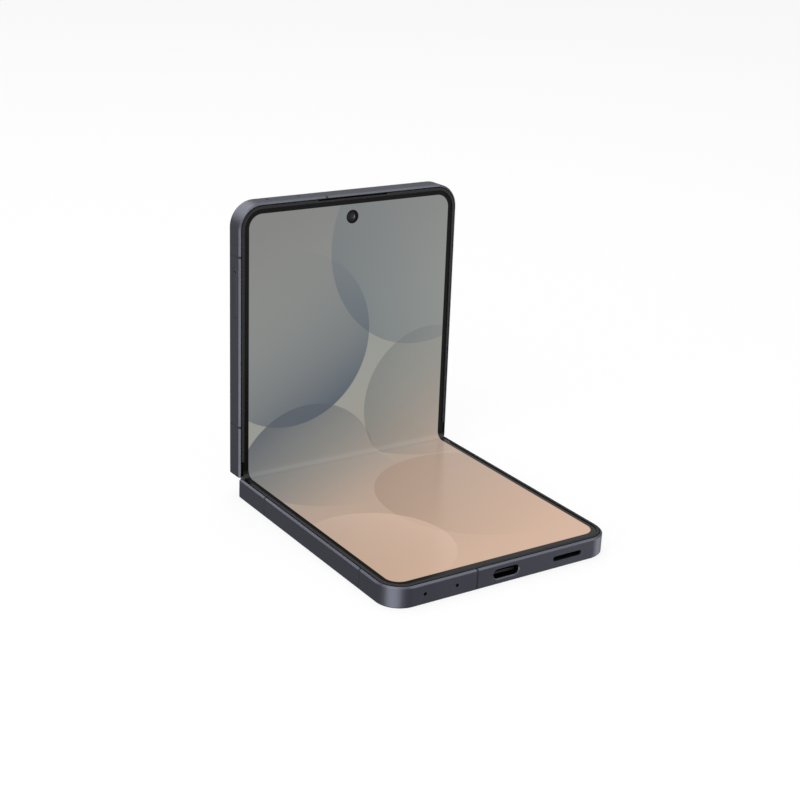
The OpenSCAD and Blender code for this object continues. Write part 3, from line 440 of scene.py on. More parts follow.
FINISHES = {
    rail_metal: ["lower_frame", "upper_frame", "card_tray", "side_key", "volume_key",
                 "camera_rings", "spine_cover"],
    break_plastic: ["lower_rail_breaks", "upper_rail_breaks"],
    cap_plastic: ["spine_end_caps"],
    hinge_steel: ["hinge_blocks", "fold_support", "lower_curved_rails", "upper_curved_rails",
                  "lower_wing_plate", "upper_wing_plate", "spine_screws", "lower_screws",
                  "upper_screws", "shield_cans"],
    display_steel: ["lower_display_sheet", "upper_display_sheet"],
    socket_steel: ["card_reader"],
    socket_dark: ["usb_socket_shell"],
    gear_brass: ["lower_pinions", "lower_idlers", "upper_idlers", "upper_pinions"],
    battery_film: ["lower_battery", "upper_battery"],
    board_mask: ["sub_board", "main_board"],
    opening_black: ["usb_socket_tongue", "loudspeaker", "earpiece", "lower_microphones",
                    "upper_microphones", "front_camera"],
    module_plastic: ["vibration_motor", "rear_camera_modules", "key_switches", "cover_display"],
    coil_copper: ["charging_coil"],
    flash_lens: ["flash"],
}


def finish_node(name, material):
    """Gives a piece of the frame one material all over."""
    mesh = nodes[name].data
    mesh.materials.clear()
    mesh.materials.append(material)


for material, names in FINISHES.items():
    for name in names:
        finish_node(name, material)
print("nodes finished:", sum(len(names) for names in FINISHES.values()))

# %% [markdown]
# ### Small edges on machined pieces
# No machined edge is perfectly sharp, and the thin bright line that its rounding gives is what makes
# metal look real. The pieces from the frame stay as they are; a chain of modifiers welds their
# loose triangles, joins flat ones into whole faces, and rounds the edges by a few hundredths of a
# millimetre. Weighted normals keep the broad faces flat beside the small round ones.

# %% Round the visible edges
EDGE_ROUND = 0.06 * MM
EDGE_STEPS = 2
WELD_REACH = 0.0005 * MM
FLAT_ANGLE = math.radians(1)
SHARP_ANGLE = math.radians(35)


def round_edges(name):
    piece = nodes[name]
    make_active(piece)
    bpy.ops.mesh.customdata_custom_splitnormals_clear()
    for face in piece.data.polygons:
        face.use_smooth = True
    weld = piece.modifiers.new("weld", "WELD")
    weld.merge_threshold = WELD_REACH
    flat = piece.modifiers.new("flat_faces", "DECIMATE")
    flat.decimate_type = "DISSOLVE"
    flat.angle_limit = FLAT_ANGLE
    edges = piece.modifiers.new("edges", "BEVEL")
    edges.width = EDGE_ROUND
    edges.segments = EDGE_STEPS
    edges.limit_method = "ANGLE"
    edges.angle_limit = SHARP_ANGLE
    edges.use_clamp_overlap = True
    piece.modifiers.new("normals", "WEIGHTED_NORMAL").keep_sharp = True


for name in ("lower_frame", "upper_frame", "lower_rail_breaks", "upper_rail_breaks", "card_tray",
             "side_key", "volume_key", "camera_rings", "spine_cover", "spine_end_caps"):
    round_edges(name)

# %% [markdown]
# ## The display
# One flexible display runs over both halves. Its two flat areas are stiff, and a narrow stretch
# between them bends. All three share one UV map that measures the display as if it was rolled out
# flat, so that the picture, its rounded black border and the camera's hole run on across the fold.

# %% The rolled-out measure of the display
display_low, display_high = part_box("lower_display")
DISPLAY_HALF_W = display_high.x
DISPLAY_INSET = HALF_W - DISPLAY_HALF_W
DISPLAY_T = HALF_T - display_low.z
FLEX_START = HALF_LEN / 2 - display_high.y
BEND_R = 2.6 * MM
CORNER_R = 7.4 * MM
UV_SPAN = 200 * MM


def meeting(height):
    """Where the halves' planes at a height meet, as a distance from the fold line."""
    beyond_axis = (AXIS_DEPTH + height) * math.sin(FOLD_TURN)
    return AXIS_OFFSET - (AXIS_OFFSET - beyond_axis) / math.cos(FOLD_TURN)


bend_start = meeting(0) + BEND_R * math.tan(FOLD_TURN)
bend_centre = LOWER @ Vector((0, -bend_start, BEND_R))


def rolled_out(v):
    """Distance from the fold's middle, along the display, of a point v from the fold line."""
    return v - bend_start + BEND_R * FOLD_TURN


def set_rolled_uv(piece, distance):
    """Writes the rolled-out place of each corner; distance gives it along the display."""
    layer = piece.data.uv_layers.new(name="rolled_out")
    for loop in piece.data.loops:
        at = piece.data.vertices[loop.vertex_index].co
        layer.data[loop.index].uv = (0.5 + at.x / UV_SPAN, 0.5 + distance(at) / UV_SPAN)


print("display bends from", round(bend_start / MM, 2), "mm either side of the fold")

# %% [markdown]
# ### The picture
# The screen shows a calm abstract picture: a slow change from cool grey at the top to warm peach at
# the bottom, with large translucent discs that overlap. Each disc has one crisp edge and fades away
# inside. It is worked out from the rolled-out map, so no picture file is needed.

# %% Groups for the picture
DISC_CRISP = 4
DISC_FADE = 1.6


def make_disc_group():
    """Mask of a disc that is strongest at its edge on one side and fades towards the other."""
    group, start, end = new_group(
        "fading_disc",
        {
            "Place": ("vector", (0, 0, 0)),
            "Centre": ("vector", (0, 0, 0)),
            "Radius": ("value", 20),
            "Strong side": ("vector", (1, 0, 0)),
            "Strength": ("value", 0.5),
        },
        {"Mask": "value"},
    )
    offset = add_node(group, "ShaderNodeVectorMath", operation="SUBTRACT")
    group.links.new(start.outputs["Place"], offset.inputs[0])
    group.links.new(start.outputs["Centre"], offset.inputs[1])
    distance = add_node(group, "ShaderNodeVectorMath", operation="LENGTH")
    group.links.new(offset.outputs[0], distance.inputs[0])
    inside = math_node(group, "SUBTRACT", start.outputs["Radius"], distance.outputs["Value"])
    crisp = math_node(group, "MULTIPLY_ADD", inside, DISC_CRISP, 0.5, clamp=True)
    towards = add_node(group, "ShaderNodeVectorMath", operation="DOT_PRODUCT")
    group.links.new(offset.outputs[0], towards.inputs[0])
    group.links.new(start.outputs["Strong side"], towards.inputs[1])
    share = math_node(group, "DIVIDE", towards.outputs["Value"], start.outputs["Radius"])
    fade = math_node(group, "MULTIPLY_ADD", share, 0.5, 0.5, clamp=True)
    fade = math_node(group, "POWER", fade, DISC_FADE)
    mask = math_node(group, "MULTIPLY", crisp, fade)
    mask = math_node(group, "MULTIPLY", mask, start.outputs["Strength"])
    group.links.new(mask, end.inputs["Mask"])
    return group


DISC = make_disc_group()

# Each disc: centre and radius in mm on the rolled-out display, its strong side, strength and colour.
DISCS = [
    ((26, 66), 33, (-0.8, -0.6), 0.6, from_srgb(100, 112, 120)),
    ((-20, 40), 27, (0.5, -0.87), 0.9, from_srgb(78, 90, 104)),
    ((30, 14), 24, (-0.95, 0.3), 0.55, from_srgb(108, 112, 112)),
    ((-14, -6), 25, (-0.6, 0.8), 0.85, from_srgb(88, 94, 102)),
    ((20, -40), 30, (-0.7, 0.7), 0.55, from_srgb(160, 134, 118)),
    ((-26, -58), 22, (0.9, 0.4), 0.5, from_srgb(222, 192, 172)),
]
# Colours of the background, from the top left corner to the bottom right one.
BACKGROUND = [
    (0.0, from_srgb(130, 131, 129)),
    (0.18, from_srgb(142, 143, 140)),
    (0.36, from_srgb(155, 157, 151)),
    (0.48, from_srgb(156, 151, 142)),
    (0.62, from_srgb(184, 162, 146)),
    (0.84, from_srgb(199, 168, 145)),
    (1.0, from_srgb(213, 178, 155)),
]
BACKGROUND_TILT = 0.4
BACKGROUND_REACH = 90
# The lit area and the camera's hole in it, in mm; BORDER_CRISP is how fast light ends, per mm.
BORDER_CRISP = 8
ACTIVE_HALF_W = 34.52
ACTIVE_LOWER_END = 79.85
ACTIVE_UPPER_END = 80.35
ACTIVE_CORNER = 4.2
CAMERA_HOLE_V = 76.5
CAMERA_HOLE_R = 2.0


def make_picture_group():
    group, start, end = new_group("screen_picture", {}, {"Color": "color", "Lit": "value"})
    uv = add_node(group, "ShaderNodeUVMap", uv_map="rolled_out")
    place = add_node(group, "ShaderNodeVectorMath", operation="MULTIPLY_ADD")
    group.links.new(uv.outputs["UV"], place.inputs[0])
    place.inputs[1].default_value = (UV_SPAN / MM, UV_SPAN / MM, 0)
    place.inputs[2].default_value = (-UV_SPAN / MM / 2, -UV_SPAN / MM / 2, 0)
    split = group.nodes.new("ShaderNodeSeparateXYZ")
    group.links.new(place.outputs[0], split.inputs[0])

    across = math_node(group, "MULTIPLY", split.outputs["X"], BACKGROUND_TILT)
    down = math_node(group, "SUBTRACT", across, split.outputs["Y"])
    share = math_node(group, "MULTIPLY_ADD", down, 0.5 / BACKGROUND_REACH, 0.5, clamp=True)
    ramp = group.nodes.new("ShaderNodeValToRGB")
    ramp.color_ramp.interpolation = "B_SPLINE"
    stops = ramp.color_ramp.elements
    for index, (position, color) in enumerate(BACKGROUND):
        stop = stops[index] if index < 2 else stops.new(position)
        stop.position = position
        stop.color = color
    group.links.new(share, ramp.inputs["Fac"])

    color = ramp.outputs["Color"]
    for centre, radius, strong_side, strength, disc_color in DISCS:
        disc = place_group(group, DISC, Centre=(*centre, 0), Radius=radius,
                           Strong_side=(*strong_side, 0), Strength=strength)
        group.links.new(place.outputs[0], disc.inputs["Place"])
        mixed = add_node(group, "ShaderNodeMix", data_type="RGBA")
        group.links.new(disc.outputs["Mask"], mixed.inputs["Factor"])
        group.links.new(color, mixed.inputs["A"])
        mixed.inputs["B"].default_value = disc_color
        color = mixed.outputs["Result"]
    group.links.new(color, end.inputs["Color"])

    lit = active_area(group, split.outputs["X"], split.outputs["Y"])
    hole = add_node(group, "ShaderNodeVectorMath", operation="DISTANCE")
    group.links.new(place.outputs[0], hole.inputs[0])
    hole.inputs[1].default_value = (0, rolled_out(CAMERA_HOLE_V * MM) / MM, 0)
    outside = math_node(group, "SUBTRACT", hole.outputs["Value"], CAMERA_HOLE_R)
    outside = math_node(group, "MULTIPLY", outside, BORDER_CRISP, clamp=True)
    group.links.new(math_node(group, "MULTIPLY", lit, outside), end.inputs["Lit"])
    return group


def active_area(group, x, y):
    """1 inside the rounded lit area, 0 in the border, measured in millimetres."""
    lower_end = rolled_out(ACTIVE_LOWER_END * MM) / MM
    upper_end = rolled_out(ACTIVE_UPPER_END * MM) / MM
    half_length = (upper_end + lower_end) / 2
    y = math_node(group, "SUBTRACT", y, (upper_end - lower_end) / 2)
    beyond = []
    for value, reach in ((x, ACTIVE_HALF_W), (y, half_length)):
        size = math_node(group, "ABSOLUTE", value)
        past = math_node(group, "SUBTRACT", size, reach - ACTIVE_CORNER)
        beyond.append(math_node(group, "MAXIMUM", past, 0))
    squares = [math_node(group, "POWER", part, 2) for part in beyond]
    distance = math_node(group, "SQRT", math_node(group, "ADD", *squares))
    inside = math_node(group, "SUBTRACT", ACTIVE_CORNER, distance)
    return math_node(group, "MULTIPLY", inside, BORDER_CRISP, clamp=True)


PICTURE = make_picture_group()

# %% [markdown]
# ### The display's material
# A lit screen gives its own light, so the picture goes to the emission colour. Under it the film is
# almost black, with a thin gloss. The border and the camera's hole are the same film without light.

# %% Display material
SCREEN_BLACK = from_srgb(9, 9, 9)
SCREEN_LIGHT = 0.97


def make_display_material():
    material, tree, shader = new_material("display_film", SCREEN_BLACK, 0.22, specular=0.1)
    picture = place_group(tree, PICTURE)
    lit_color = add_node(tree, "ShaderNodeVectorMath", operation="SCALE")
    tree.links.new(picture.outputs["Color"], lit_color.inputs[0])
    tree.links.new(picture.outputs["Lit"], lit_color.inputs["Scale"])
    tree.links.new(lit_color.outputs[0], shader.inputs["Emission Color"])
    shader.inputs["Emission Strength"].default_value = SCREEN_LIGHT
    smudges = place_group(tree, SMUDGES, Scale=35, Low=0.18, High=0.26)
    tree.links.new(smudges.outputs["Roughness"], shader.inputs["Roughness"])
    return material


display_film = make_display_material()

# %% [markdown]
# ### Rounded plates
# The display's flat areas, the rims and the glass back all have the same outline in plan: a half's
# outline, inset by some distance. It starts as a plane. The two corners at the free end are rounded
# by a vertex bevel, whose offset is the corner's radius, and the plane is then given its thickness.

# %% A rounded plate
CORNER_STEPS = 16
CORNER_REACH = 0.1 * MM
HOLE_STEPS = 48
HOLE_BORDER = 0.25 * MM


def rounded_plane(name, side, inset, start_v, height):
    """A flat outline of a half: side is -1 for the lower half and 1 for the upper one."""
    deselect_all()
    end_v = HALF_LEN - inset
    bpy.ops.mesh.primitive_plane_add(size=1, location=(0, side * (start_v + end_v) / 2, height))
    bpy.context.object.scale = (2 * (HALF_W - inset), end_v - start_v, 1)
    piece = begin(name)
    pick("VERT", lambda at: abs(at.y - side * end_v) < CORNER_REACH)
    bpy.ops.mesh.bevel(offset=CORNER_R - inset, segments=CORNER_STEPS, affect="VERTICES")
    return piece


def rounded_plate(name, side, inset, start_v, top, thickness):
    """The outline with a thickness below its top face."""
    piece = rounded_plane(name, side, inset, start_v, top)
    bpy.ops.mesh.select_all(action="SELECT")
    bpy.ops.mesh.extrude_region_move(TRANSFORM_OT_translate={"value": (0, 0, -thickness)})
    bpy.ops.mesh.select_all(action="SELECT")
    bpy.ops.mesh.normals_make_consistent(inside=False)
    return piece


def cylinder_tool(at, radius, depth, place):
    """A cylinder to cut with."""
    deselect_all()
    bpy.ops.mesh.primitive_cylinder_add(vertices=HOLE_STEPS, radius=radius, depth=depth, location=at)
    tool = bpy.context.object
    tool.data.transform(place @ tool.matrix_world)
    tool.matrix_world = Matrix.Identity(4)
    return tool


# %% [markdown]
# The display's two flat areas are such plates. The camera's hole is cut through the upper one, a
# little smaller than the dark round that the picture leaves for it.

# %% The two flat areas of the display
lower_display = rounded_plate("lower_display_film", -1, DISPLAY_INSET, FLEX_START, 0, DISPLAY_T)
settle(lower_display, LOWER)
set_rolled_uv(lower_display, lambda at: -rolled_out(HALF_LEN / 2 - at.y))

upper_display = rounded_plate("upper_display_film", 1, DISPLAY_INSET, FLEX_START, 0, DISPLAY_T)
settle(upper_display, UPPER)
UPPER_BACK = UPPER.inverted()
hole_tool = cylinder_tool((0, CAMERA_HOLE_V * MM, 0), CAMERA_HOLE_R * MM - HOLE_BORDER,
                          4 * DISPLAY_T, UPPER)
cut_away(upper_display, hole_tool)
set_rolled_uv(upper_display, lambda at: rolled_out((UPPER_BACK @ at).y))

for piece, node, body in ((lower_display, "lower_display", "lower_half"),
                          (upper_display, "upper_display", "upper_half")):
    piece.data.materials.append(display_film)
    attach(piece, body)
    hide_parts(node)

# %% [markdown]
# ### The bending stretch
# Each side of the stretch starts as a flat grid, from the display's stiff area to where the bend
# starts. The grid's edge there is spun about the bend's centre as far as the middle of the spine, and
# the sheet is then given its thickness. Two parts are made, one for each side of the spine, so that
# each crosses just one of the two fold axes.

# %% The bending stretch
BEND_STEPS = 14
FLEX_COLUMNS = 24
FLEX_ROWS = 4
LINE_REACH = 0.01 * MM
MERGE_REACH = 0.001 * MM


def spun_strip(name, side, low_x, high_x, height, start_v, end_v, centre, thickness):
    """One side of a bent strip: straight from end_v to start_v, then round the centre."""
    deselect_all()
    home = LOWER if side < 0 else UPPER
    bpy.ops.mesh.primitive_grid_add(x_subdivisions=FLEX_COLUMNS, y_subdivisions=FLEX_ROWS, size=1)
    bpy.context.object.scale = (high_x - low_x, end_v - start_v, 1)
    bpy.context.object.location = ((low_x + high_x) / 2, side * (end_v + start_v) / 2, height)
    piece = begin(name)
    bpy.ops.object.mode_set(mode="OBJECT")
    piece.data.transform(home)
    bpy.ops.object.mode_set(mode="EDIT")
    start_line = home @ Vector((0, side * start_v, height))
    pick("EDGE", lambda at: (at - start_line).yz.length < LINE_REACH)
    bpy.ops.mesh.spin(steps=BEND_STEPS, angle=side * FOLD_TURN, center=centre, axis=(1, 0, 0))
    bpy.ops.mesh.select_all(action="SELECT")
    bpy.ops.mesh.remove_doubles(threshold=MERGE_REACH)
    bpy.ops.mesh.normals_make_consistent(inside=False)
    make_active(piece)
    towards_centre = centre - piece.data.vertices[0].co
    if piece.data.polygons[0].normal.dot(towards_centre) < 0:
        piece.data.flip_normals()
    apply_modifier(piece, "SOLIDIFY", thickness=thickness, offset=-1)
    return settle(piece, Matrix.Identity(4))


def blend_over_fold(lower_piece, upper_piece, height, middle_point):
    """Writes the place of each side of a strip into its own mesh."""
    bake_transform(lower_piece)
    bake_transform(upper_piece)


def along_bend(at):
    """Rolled-out distance of a point on the bending stretch, from the fold's middle."""
    from_centre = at - bend_centre
    angle = math.atan2(from_centre.y, -from_centre.z)
    if angle < 0:
        return -BEND_R * FOLD_TURN - (bend_centre.y - at.y)
    if angle > 2 * FOLD_TURN:
        return BEND_R * FOLD_TURN + (UPPER_BACK @ at).y - bend_start
    return BEND_R * (angle - FOLD_TURN)


OUTWARDS = Vector((0, math.sin(FOLD_TURN), -math.cos(FOLD_TURN)))
fold_parts = []
for name, side in (("display_bend_lower", -1), ("display_bend_upper", 1)):
    piece = spun_strip(name, side, -DISPLAY_HALF_W, DISPLAY_HALF_W, 0, bend_start, FLEX_START,
                       bend_centre, DISPLAY_T)
    set_rolled_uv(piece, along_bend)
    piece.data.materials.append(display_film)
    fold_parts.append(piece)

blend_over_fold(*fold_parts, 0, bend_centre + BEND_R * OUTWARDS)
for piece in fold_parts:
    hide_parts("display_fold")

# %% [markdown]
# The flexible circuit that joins the two boards runs under the display. It is made in the same way.

# %% The flexible circuit
CIRCUIT_W = -1.85 * MM
CIRCUIT_T = 0.1 * MM
CIRCUIT_R = 1.5 * MM
CIRCUIT_END = 14.5 * MM
circuit_low, circuit_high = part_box("hinge_flex")
circuit_start = meeting(CIRCUIT_W) + CIRCUIT_R * math.tan(FOLD_TURN)
circuit_centre = LOWER @ Vector((0, -circuit_start, CIRCUIT_W + CIRCUIT_R))
circuit_parts = []
for name, side in (("circuit_bend_lower", -1), ("circuit_bend_upper", 1)):
    piece = spun_strip(name, side, circuit_low.x, circuit_high.x, CIRCUIT_W, circuit_start,
                       CIRCUIT_END, circuit_centre, CIRCUIT_T)
    piece.data.materials.append(flex_film)
    circuit_parts.append(piece)

blend_over_fold(*circuit_parts, CIRCUIT_W, circuit_centre + CIRCUIT_R * OUTWARDS)
for piece in circuit_parts:
    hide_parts("hinge_flex")

# %% [markdown]
# ## The rim round the display
# A soft dark rim stands 0.3 mm above the display and keeps the two halves of it apart when the
# phone is shut. It covers the display's edge on three sides and slopes down to the outside, and a
# narrow groove parts it from the rail. Its foot fills that groove, and goes on towards the fold as a
# low strip beside the bending stretch. The foot is near black as painted shade, for the shadow deep
# in the groove and in the pocket beside the fold. Both parts are rings: the rounded plane with an
# inset, cut off at the fold's side and given a thickness. At the far end of the upper half the rim
# is notched for the earpiece's slot.

# %% The rims
trim_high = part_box("lower_trim")[1]
TRIM_INSET = HALF_W - trim_high.x
TRIM_TOP = trim_high.z - HALF_T
TRIM_GROOVE = 0.2 * MM
TRIM_STEP = TRIM_INSET + TRIM_GROOVE
TRIM_SLOPE = 0.58 * MM
TRIM_FLAT = 0.2 * MM
TRIM_LIP = 0.04 * MM
TRIM_START = 5.4 * MM
TRIM_ROUND = 0.03 * MM
TRIM_STEPS = 3
FOOT_GAP = 0.05 * MM
FOOT_W = 0.45 * MM
FOOT_TOP = -0.25 * MM
FOOT_LOW = -0.55 * MM
FOOT_START = 0.6 * MM
EAR_SLOT_HALF_W = 11.9 * MM
EAR_SLOT_IN = 0.5 * MM
EAR_SLOT_OUT = 0.1 * MM


def half_ring(name, side, inset, width, start_v, top, low, slope=0, lip=0):
    """A strip along a half's sides and round its free end. Its outer side may slope up from a lip."""
    piece = rounded_plane(name, side, inset, start_v - 2 * (width + slope), lip if slope else top)
    bpy.ops.mesh.select_all(action="SELECT")
    if slope:
        bpy.ops.mesh.inset(thickness=slope, depth=0)
        bpy.ops.transform.translate(value=(0, 0, top - lip))
    bpy.ops.mesh.inset(thickness=width, depth=0)
    bpy.ops.mesh.delete(type="FACE")
    bpy.ops.mesh.select_all(action="SELECT")
    bpy.ops.mesh.bisect(plane_co=(0, side * start_v, 0), plane_no=(0, side, 0), clear_inner=True)
    bpy.ops.mesh.select_all(action="SELECT")
    bpy.ops.mesh.extrude_region_move(TRANSFORM_OT_translate={"value": (0, 0, low - top)})
    bpy.ops.transform.resize(value=(1, 1, 0), center_override=(0, 0, low))
    bpy.ops.mesh.select_all(action="SELECT")
    bpy.ops.mesh.normals_make_consistent(inside=False)
    return piece


def box_tool(low, high, place):
    """A box between two corners, to cut with."""
    deselect_all()
    middle_place = [(a + b) / 2 for a, b in zip(low, high)]
    bpy.ops.mesh.primitive_cube_add(size=1, location=middle_place)
    tool = bpy.context.object
    tool.scale = [b - a for a, b in zip(low, high)]
    bpy.ops.object.transform_apply(location=True, rotation=True, scale=True)
    tool.data.transform(place)
    return tool


def make_rim(name, side, place):
    """The raised rim and its foot, joined."""
    raised = half_ring(name, side, TRIM_STEP, TRIM_FLAT, TRIM_START, TRIM_TOP, 0,
                       slope=TRIM_SLOPE, lip=TRIM_LIP)
    pick_faces_facing((0, 0, 1))
    bpy.ops.mesh.region_to_loop()
    bpy.ops.mesh.bevel(offset=TRIM_ROUND, segments=TRIM_STEPS, affect="EDGES")
    settle(raised, place)
    raised.data.materials.append(trim_soft)
    # The foot's near-black finish is painted shade for the groove and the pocket beside the fold.
    foot = half_ring(name + "_foot", side, TRIM_INSET + FOOT_GAP, FOOT_W, FOOT_START, FOOT_TOP,
                     FOOT_LOW)
    settle(foot, place)
    foot.data.materials.append(foot_painted_shade)
    if side > 0:
        slot_v = HALF_LEN - TRIM_INSET
        slot_low = (-EAR_SLOT_HALF_W, slot_v - EAR_SLOT_IN, -2 * TRIM_TOP)
        slot_high = (EAR_SLOT_HALF_W, slot_v + EAR_SLOT_OUT, 2 * TRIM_TOP)
        for part in (raised, foot):
            cut_away(part, box_tool(slot_low, slot_high, place))
    return join([raised, foot])


for name, side, place, node, body in (
    ("lower_rim", -1, LOWER, "lower_trim", "lower_half"),
    ("upper_rim", 1, UPPER, "upper_trim", "upper_half"),
):
    rim = make_rim(name, side, place)
    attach(rim, body)
    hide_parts(node)

# %% [markdown]
# ## The glass backs
# The lower back is matt glass in the rails' colour. Its edge is ground round, and catches a thin line
# of light beside the rail. The upper back is the frame's own piece, with its openings for the two
# cameras and the flash.

# %% The lower glass back
cover_low, cover_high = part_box("lower_back_cover")
COVER_INSET = HALF_W - cover_high.x
COVER_T = cover_high.z - cover_low.z
COVER_START = HALF_LEN / 2 - cover_high.y
COVER_EDGE = 0.3 * MM
COVER_STEPS = 4

lower_back = rounded_plate("lower_glass_back", -1, COVER_INSET, COVER_START, -HALF_T + COVER_T,
                           COVER_T)
pick_faces_facing((0, 0, -1))
bpy.ops.mesh.region_to_loop()
bpy.ops.mesh.bevel(offset=COVER_EDGE, segments=COVER_STEPS, affect="EDGES")
settle(lower_back, LOWER)
lower_back.data.materials.append(back_glass)
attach(lower_back, "lower_half")
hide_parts("lower_back_cover")

# %% [markdown]
# The cover glass is black while the outer display behind it is off. It is polished, as is the glass
# over the rear cameras, so both mirror the lamps sharply.

# %% Cover glass and lens materials
cover_black = grained("cover_glass_black", from_srgb(12, 12, 13), 0.06, contrast=0.05,
                      depth=0.0005 * MM, smudge=0.02)
finish_node("cover_glass", cover_black)
lens_dark = grained("lens_cover", from_srgb(10, 11, 16), 0.05, contrast=0.05, depth=0.0002 * MM,
                    smudge=0.01)
finish_node("camera_lens_glasses", lens_dark)

# %% [markdown]
# ## The lenses and the socket's mouth
# What shows of a camera is a disc with rings: a circle whose face is inset again and again, a little
# lower or higher each time, with a material for each ring. The same steps make the small camera in
# the display and the two large ones on the back.

# %% Ringed discs
LENS_STEPS = 64
LENS_SMOOTH = 25
BLACK, BARREL, RING, COATING = range(4)
lens_black = grained("lens_black", from_srgb(6, 6, 7), 0.35, contrast=0.1, specular=0.05)
lens_barrel = grained("lens_barrel", from_srgb(20, 20, 21), 0.4, contrast=0.1, specular=0.08)
lens_ring = grained("lens_ring", from_srgb(96, 97, 104), 0.25, metallic=1, contrast=0.1)
lens_coating = grained("lens_coating", from_srgb(14, 12, 24), 0.12, contrast=0.05,
                       depth=0.0002 * MM, smudge=0.01, specular=0.3)


def ringed_disc(name, radius, rings, place):
    """A disc on a half. Each ring is its width and its rise in mm, and its material's number."""
    deselect_all()
    bpy.ops.mesh.primitive_circle_add(vertices=LENS_STEPS, radius=radius, fill_type="NGON")
    piece = begin(name)
    for material in (lens_black, lens_barrel, lens_ring, lens_coating):
        piece.data.materials.append(material)
    bpy.ops.mesh.select_all(action="SELECT")
    bpy.ops.mesh.normals_make_consistent(inside=False)
    for width, rise, material in rings:
        piece.active_material_index = material
        bpy.ops.object.material_slot_assign()
        bpy.ops.mesh.inset(thickness=width * MM, depth=rise * MM)
    return settle(piece, place, smooth_angle=LENS_SMOOTH)


def on_upper(x, v, w):
    return UPPER @ Matrix.Translation((x, v, w))


FRONT_LENS_R = CAMERA_HOLE_R * MM - 0.27 * MM
FRONT_LENS_W = -0.08 * MM
FRONT_RINGS = [
    (0.25, 0, BLACK),
    (0.1, -0.05, BLACK),
    (0.55, 0, BARREL),
    (0.12, 0.04, COATING),
    (0.3, 0.05, COATING),
    (0.2, 0.01, COATING),
]
REAR_LENS_SHARE = 0.98
LENS_GLASS_UP = 0.855 * MM
REAR_RINGS = [
    (0.9, 0.02, BLACK),
    (0.25, 0.03, RING),
    (0.2, -0.03, BLACK),
    (1.2, -0.01, BARREL),
    (0.25, 0.02, BLACK),
    (0.9, 0.02, COATING),
    (0.5, 0.02, COATING),
]
front_lens = ringed_disc("front_camera_lens", FRONT_LENS_R, FRONT_RINGS,
                         on_upper(0, CAMERA_HOLE_V * MM, FRONT_LENS_W))

camera_low, camera_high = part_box("camera_lens_glasses")
glass_r = (UPPER_BACK @ camera_high - UPPER_BACK @ camera_low).y / 2
camera_v = (UPPER_BACK @ ((camera_low + camera_high) / 2)).y
facing_back = Matrix.Rotation(math.pi, 4, "Y")
rear_lenses = []
for index, x in enumerate((camera_low.x + glass_r, camera_high.x - glass_r)):
    place = on_upper(x, camera_v, -HALF_T - LENS_GLASS_UP) @ facing_back
    rear_lenses.append(ringed_disc("rear_camera_lens_" + str(index), glass_r * REAR_LENS_SHARE,
                                   REAR_RINGS, place))

for piece in [front_lens] + rear_lenses:
    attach(piece, "upper_half")

# %% [markdown]
# The socket's mouth is chamfered. Its ring starts as a rounded rectangle that fills the opening,
# and an inset that goes inwards makes the slope.

# %% The socket's mouth
PORT_W = 9.0 * MM
PORT_H = 3.2 * MM
PORT_DEPTH = 3.1 * MM
MOUTH_SLOPE = 0.22 * MM
MOUTH_SINK = 0.01 * MM
MOUTH_STEPS = 14
# The round ends stop just short of half the height, where their corners would meet.
ALMOST_HALF = 0.4995

deselect_all()
bpy.ops.mesh.primitive_plane_add(size=1)
bpy.context.object.scale = (PORT_W, PORT_H, 1)
mouth = begin("socket_mouth")
bpy.ops.mesh.select_all(action="SELECT")
bpy.ops.mesh.bevel(offset=PORT_H * ALMOST_HALF, segments=MOUTH_STEPS, affect="VERTICES")
bpy.ops.mesh.select_all(action="SELECT")
bpy.ops.mesh.inset(thickness=MOUTH_SLOPE, depth=-MOUTH_SLOPE)
bpy.ops.mesh.delete(type="FACE")
mouth_place = Matrix.Translation((0, -HALF_LEN / 2 + MOUTH_SINK, HALF_T - PORT_DEPTH))
settle(mouth, mouth_place @ Matrix.Rotation(math.pi / 2, 4, "X"))
mouth.data.materials.append(rail_metal)
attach(mouth, "lower_half")

# %% [markdown]
# ## Light and floor
# A plain studio: a pale floor, a white surround and two broad lamps. The floor and the surround are
# white where the camera sees them, but light the phone only at a plain level, so its colours come out
# as they are written. The floor keeps a soft shadow. Dark metal shows its shape through what it
# mirrors, so five more soft boxes are seen in reflections alone: three above for the chamfers, one
# low at the left for the round corners, and one low at the right that makes the socket's end lighter
# towards that side. Upright faces mirror what is below the phone, so the floor isn't mirrored and
# doesn't shade the two low boxes, and steeply below the surround is dark.

# %% Studio
PHONE_MIDDLE = Vector((0, 0, 0.04))
LAMP_REACH = 1.0
WORLD_LIGHT = 0.6
DARK_BELOW = -0.75
PALE_ABOVE = -0.45
GROUND_DARK = 0.08
FLOOR_SIZE = 6
FLOOR_PAPER = (0.9, 0.9, 0.9, 1)
FLOOR_GLOW = 0.85
WHITE = (1, 1, 1, 1)


def sees_directly(tree):
    """1 for camera, glossy and transmission rays."""
    path = tree.nodes.new("ShaderNodeLightPath")
    either = math_node(tree, "MAXIMUM", path.outputs["Is Camera Ray"], path.outputs["Is Glossy Ray"])
    return math_node(tree, "MAXIMUM", either, path.outputs["Is Transmission Ray"])


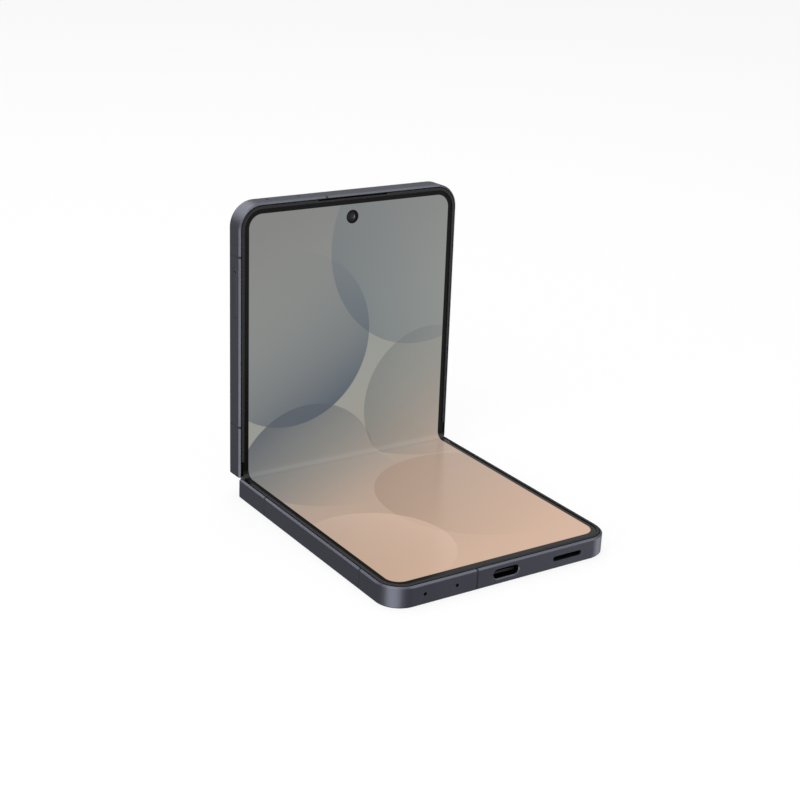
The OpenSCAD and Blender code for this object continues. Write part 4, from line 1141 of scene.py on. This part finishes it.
def make_world():
    """A white surround that lights the phone at a plain level and is dark steeply below."""
    world = bpy.data.worlds.new("studio")
    bpy.context.scene.world = world
    world.use_nodes = True
    tree = world.node_tree
    background = tree.nodes["Background"]
    background.inputs["Color"].default_value = WHITE
    strength = math_node(tree, "MULTIPLY_ADD", sees_directly(tree), 1 - WORLD_LIGHT, WORLD_LIGHT)
    direction = tree.nodes.new("ShaderNodeTexCoord")
    split = tree.nodes.new("ShaderNodeSeparateXYZ")
    tree.links.new(direction.outputs["Generated"], split.inputs[0])
    below = add_node(tree, "ShaderNodeMapRange")
    below.inputs["From Min"].default_value = DARK_BELOW
    below.inputs["From Max"].default_value = PALE_ABOVE
    below.inputs["To Min"].default_value = GROUND_DARK
    tree.links.new(split.outputs["Z"], below.inputs["Value"])
    strength = math_node(tree, "MULTIPLY", strength, below.outputs["Result"])
    tree.links.new(strength, background.inputs["Strength"])


def make_floor():
    """White paper that glows a little where it is seen directly, so that it stays pale."""
    deselect_all()
    bpy.ops.mesh.primitive_plane_add(size=FLOOR_SIZE)
    floor = bpy.context.object
    floor.name = "floor"
    material = bpy.data.materials.new("floor")
    material.use_nodes = True
    tree = material.node_tree
    tree.nodes.clear()
    paper = add_node(tree, "ShaderNodeBsdfDiffuse", Color=FLOOR_PAPER)
    glow = add_node(tree, "ShaderNodeEmission", Color=WHITE, Strength=1)
    mixed = tree.nodes.new("ShaderNodeMixShader")
    out = tree.nodes.new("ShaderNodeOutputMaterial")
    tree.links.new(math_node(tree, "MULTIPLY", sees_directly(tree), FLOOR_GLOW), mixed.inputs[0])
    tree.links.new(paper.outputs[0], mixed.inputs[1])
    tree.links.new(glow.outputs[0], mixed.inputs[2])
    tree.links.new(mixed.outputs[0], out.inputs[0])
    floor.data.materials.append(material)
    floor.visible_glossy = False
    floor.visible_shadow = False


def add_lamp(name, towards, size, power, only_mirrored=False):
    """A square area lamp a metre from the phone, which it faces."""
    data = bpy.data.lights.new(name, "AREA")
    data.size = size
    data.energy = power
    lamp = bpy.data.objects.new(name, data)
    bpy.context.scene.collection.objects.link(lamp)
    direction = Vector(towards).normalized()
    lamp.location = PHONE_MIDDLE + direction * LAMP_REACH
    lamp.rotation_euler = direction.to_track_quat("Z", "Y").to_euler()
    lamp.visible_diffuse = not only_mirrored


make_world()
make_floor()
add_lamp("key", (-0.75, -0.4, 0.6), 0.7, 5)
add_lamp("top_light", (0.1, 0.3, 0.9), 0.7, 4)
add_lamp("mirrored_back_left", (-0.15, 0.85, 0.5), 0.8, 10, only_mirrored=True)
add_lamp("mirrored_front_right", (0.56, -0.34, 0.74), 0.8, 7, only_mirrored=True)
add_lamp("mirrored_overhead", (-0.4, -0.2, 0.89), 0.8, 9, only_mirrored=True)
add_lamp("mirrored_low_left", (-0.7, -0.51, -0.5), 0.9, 12.5, only_mirrored=True)
add_lamp("mirrored_low_right", (0.94, -0.3, -0.2), 0.6, 8, only_mirrored=True)
bpy.context.scene.view_settings.view_transform = "Standard"

# %% [markdown]
# ## At the end
# The script leaves object mode with nothing selected. The visual model has to stay
# inside the frame's box.

# %% Finish
deselect_all()
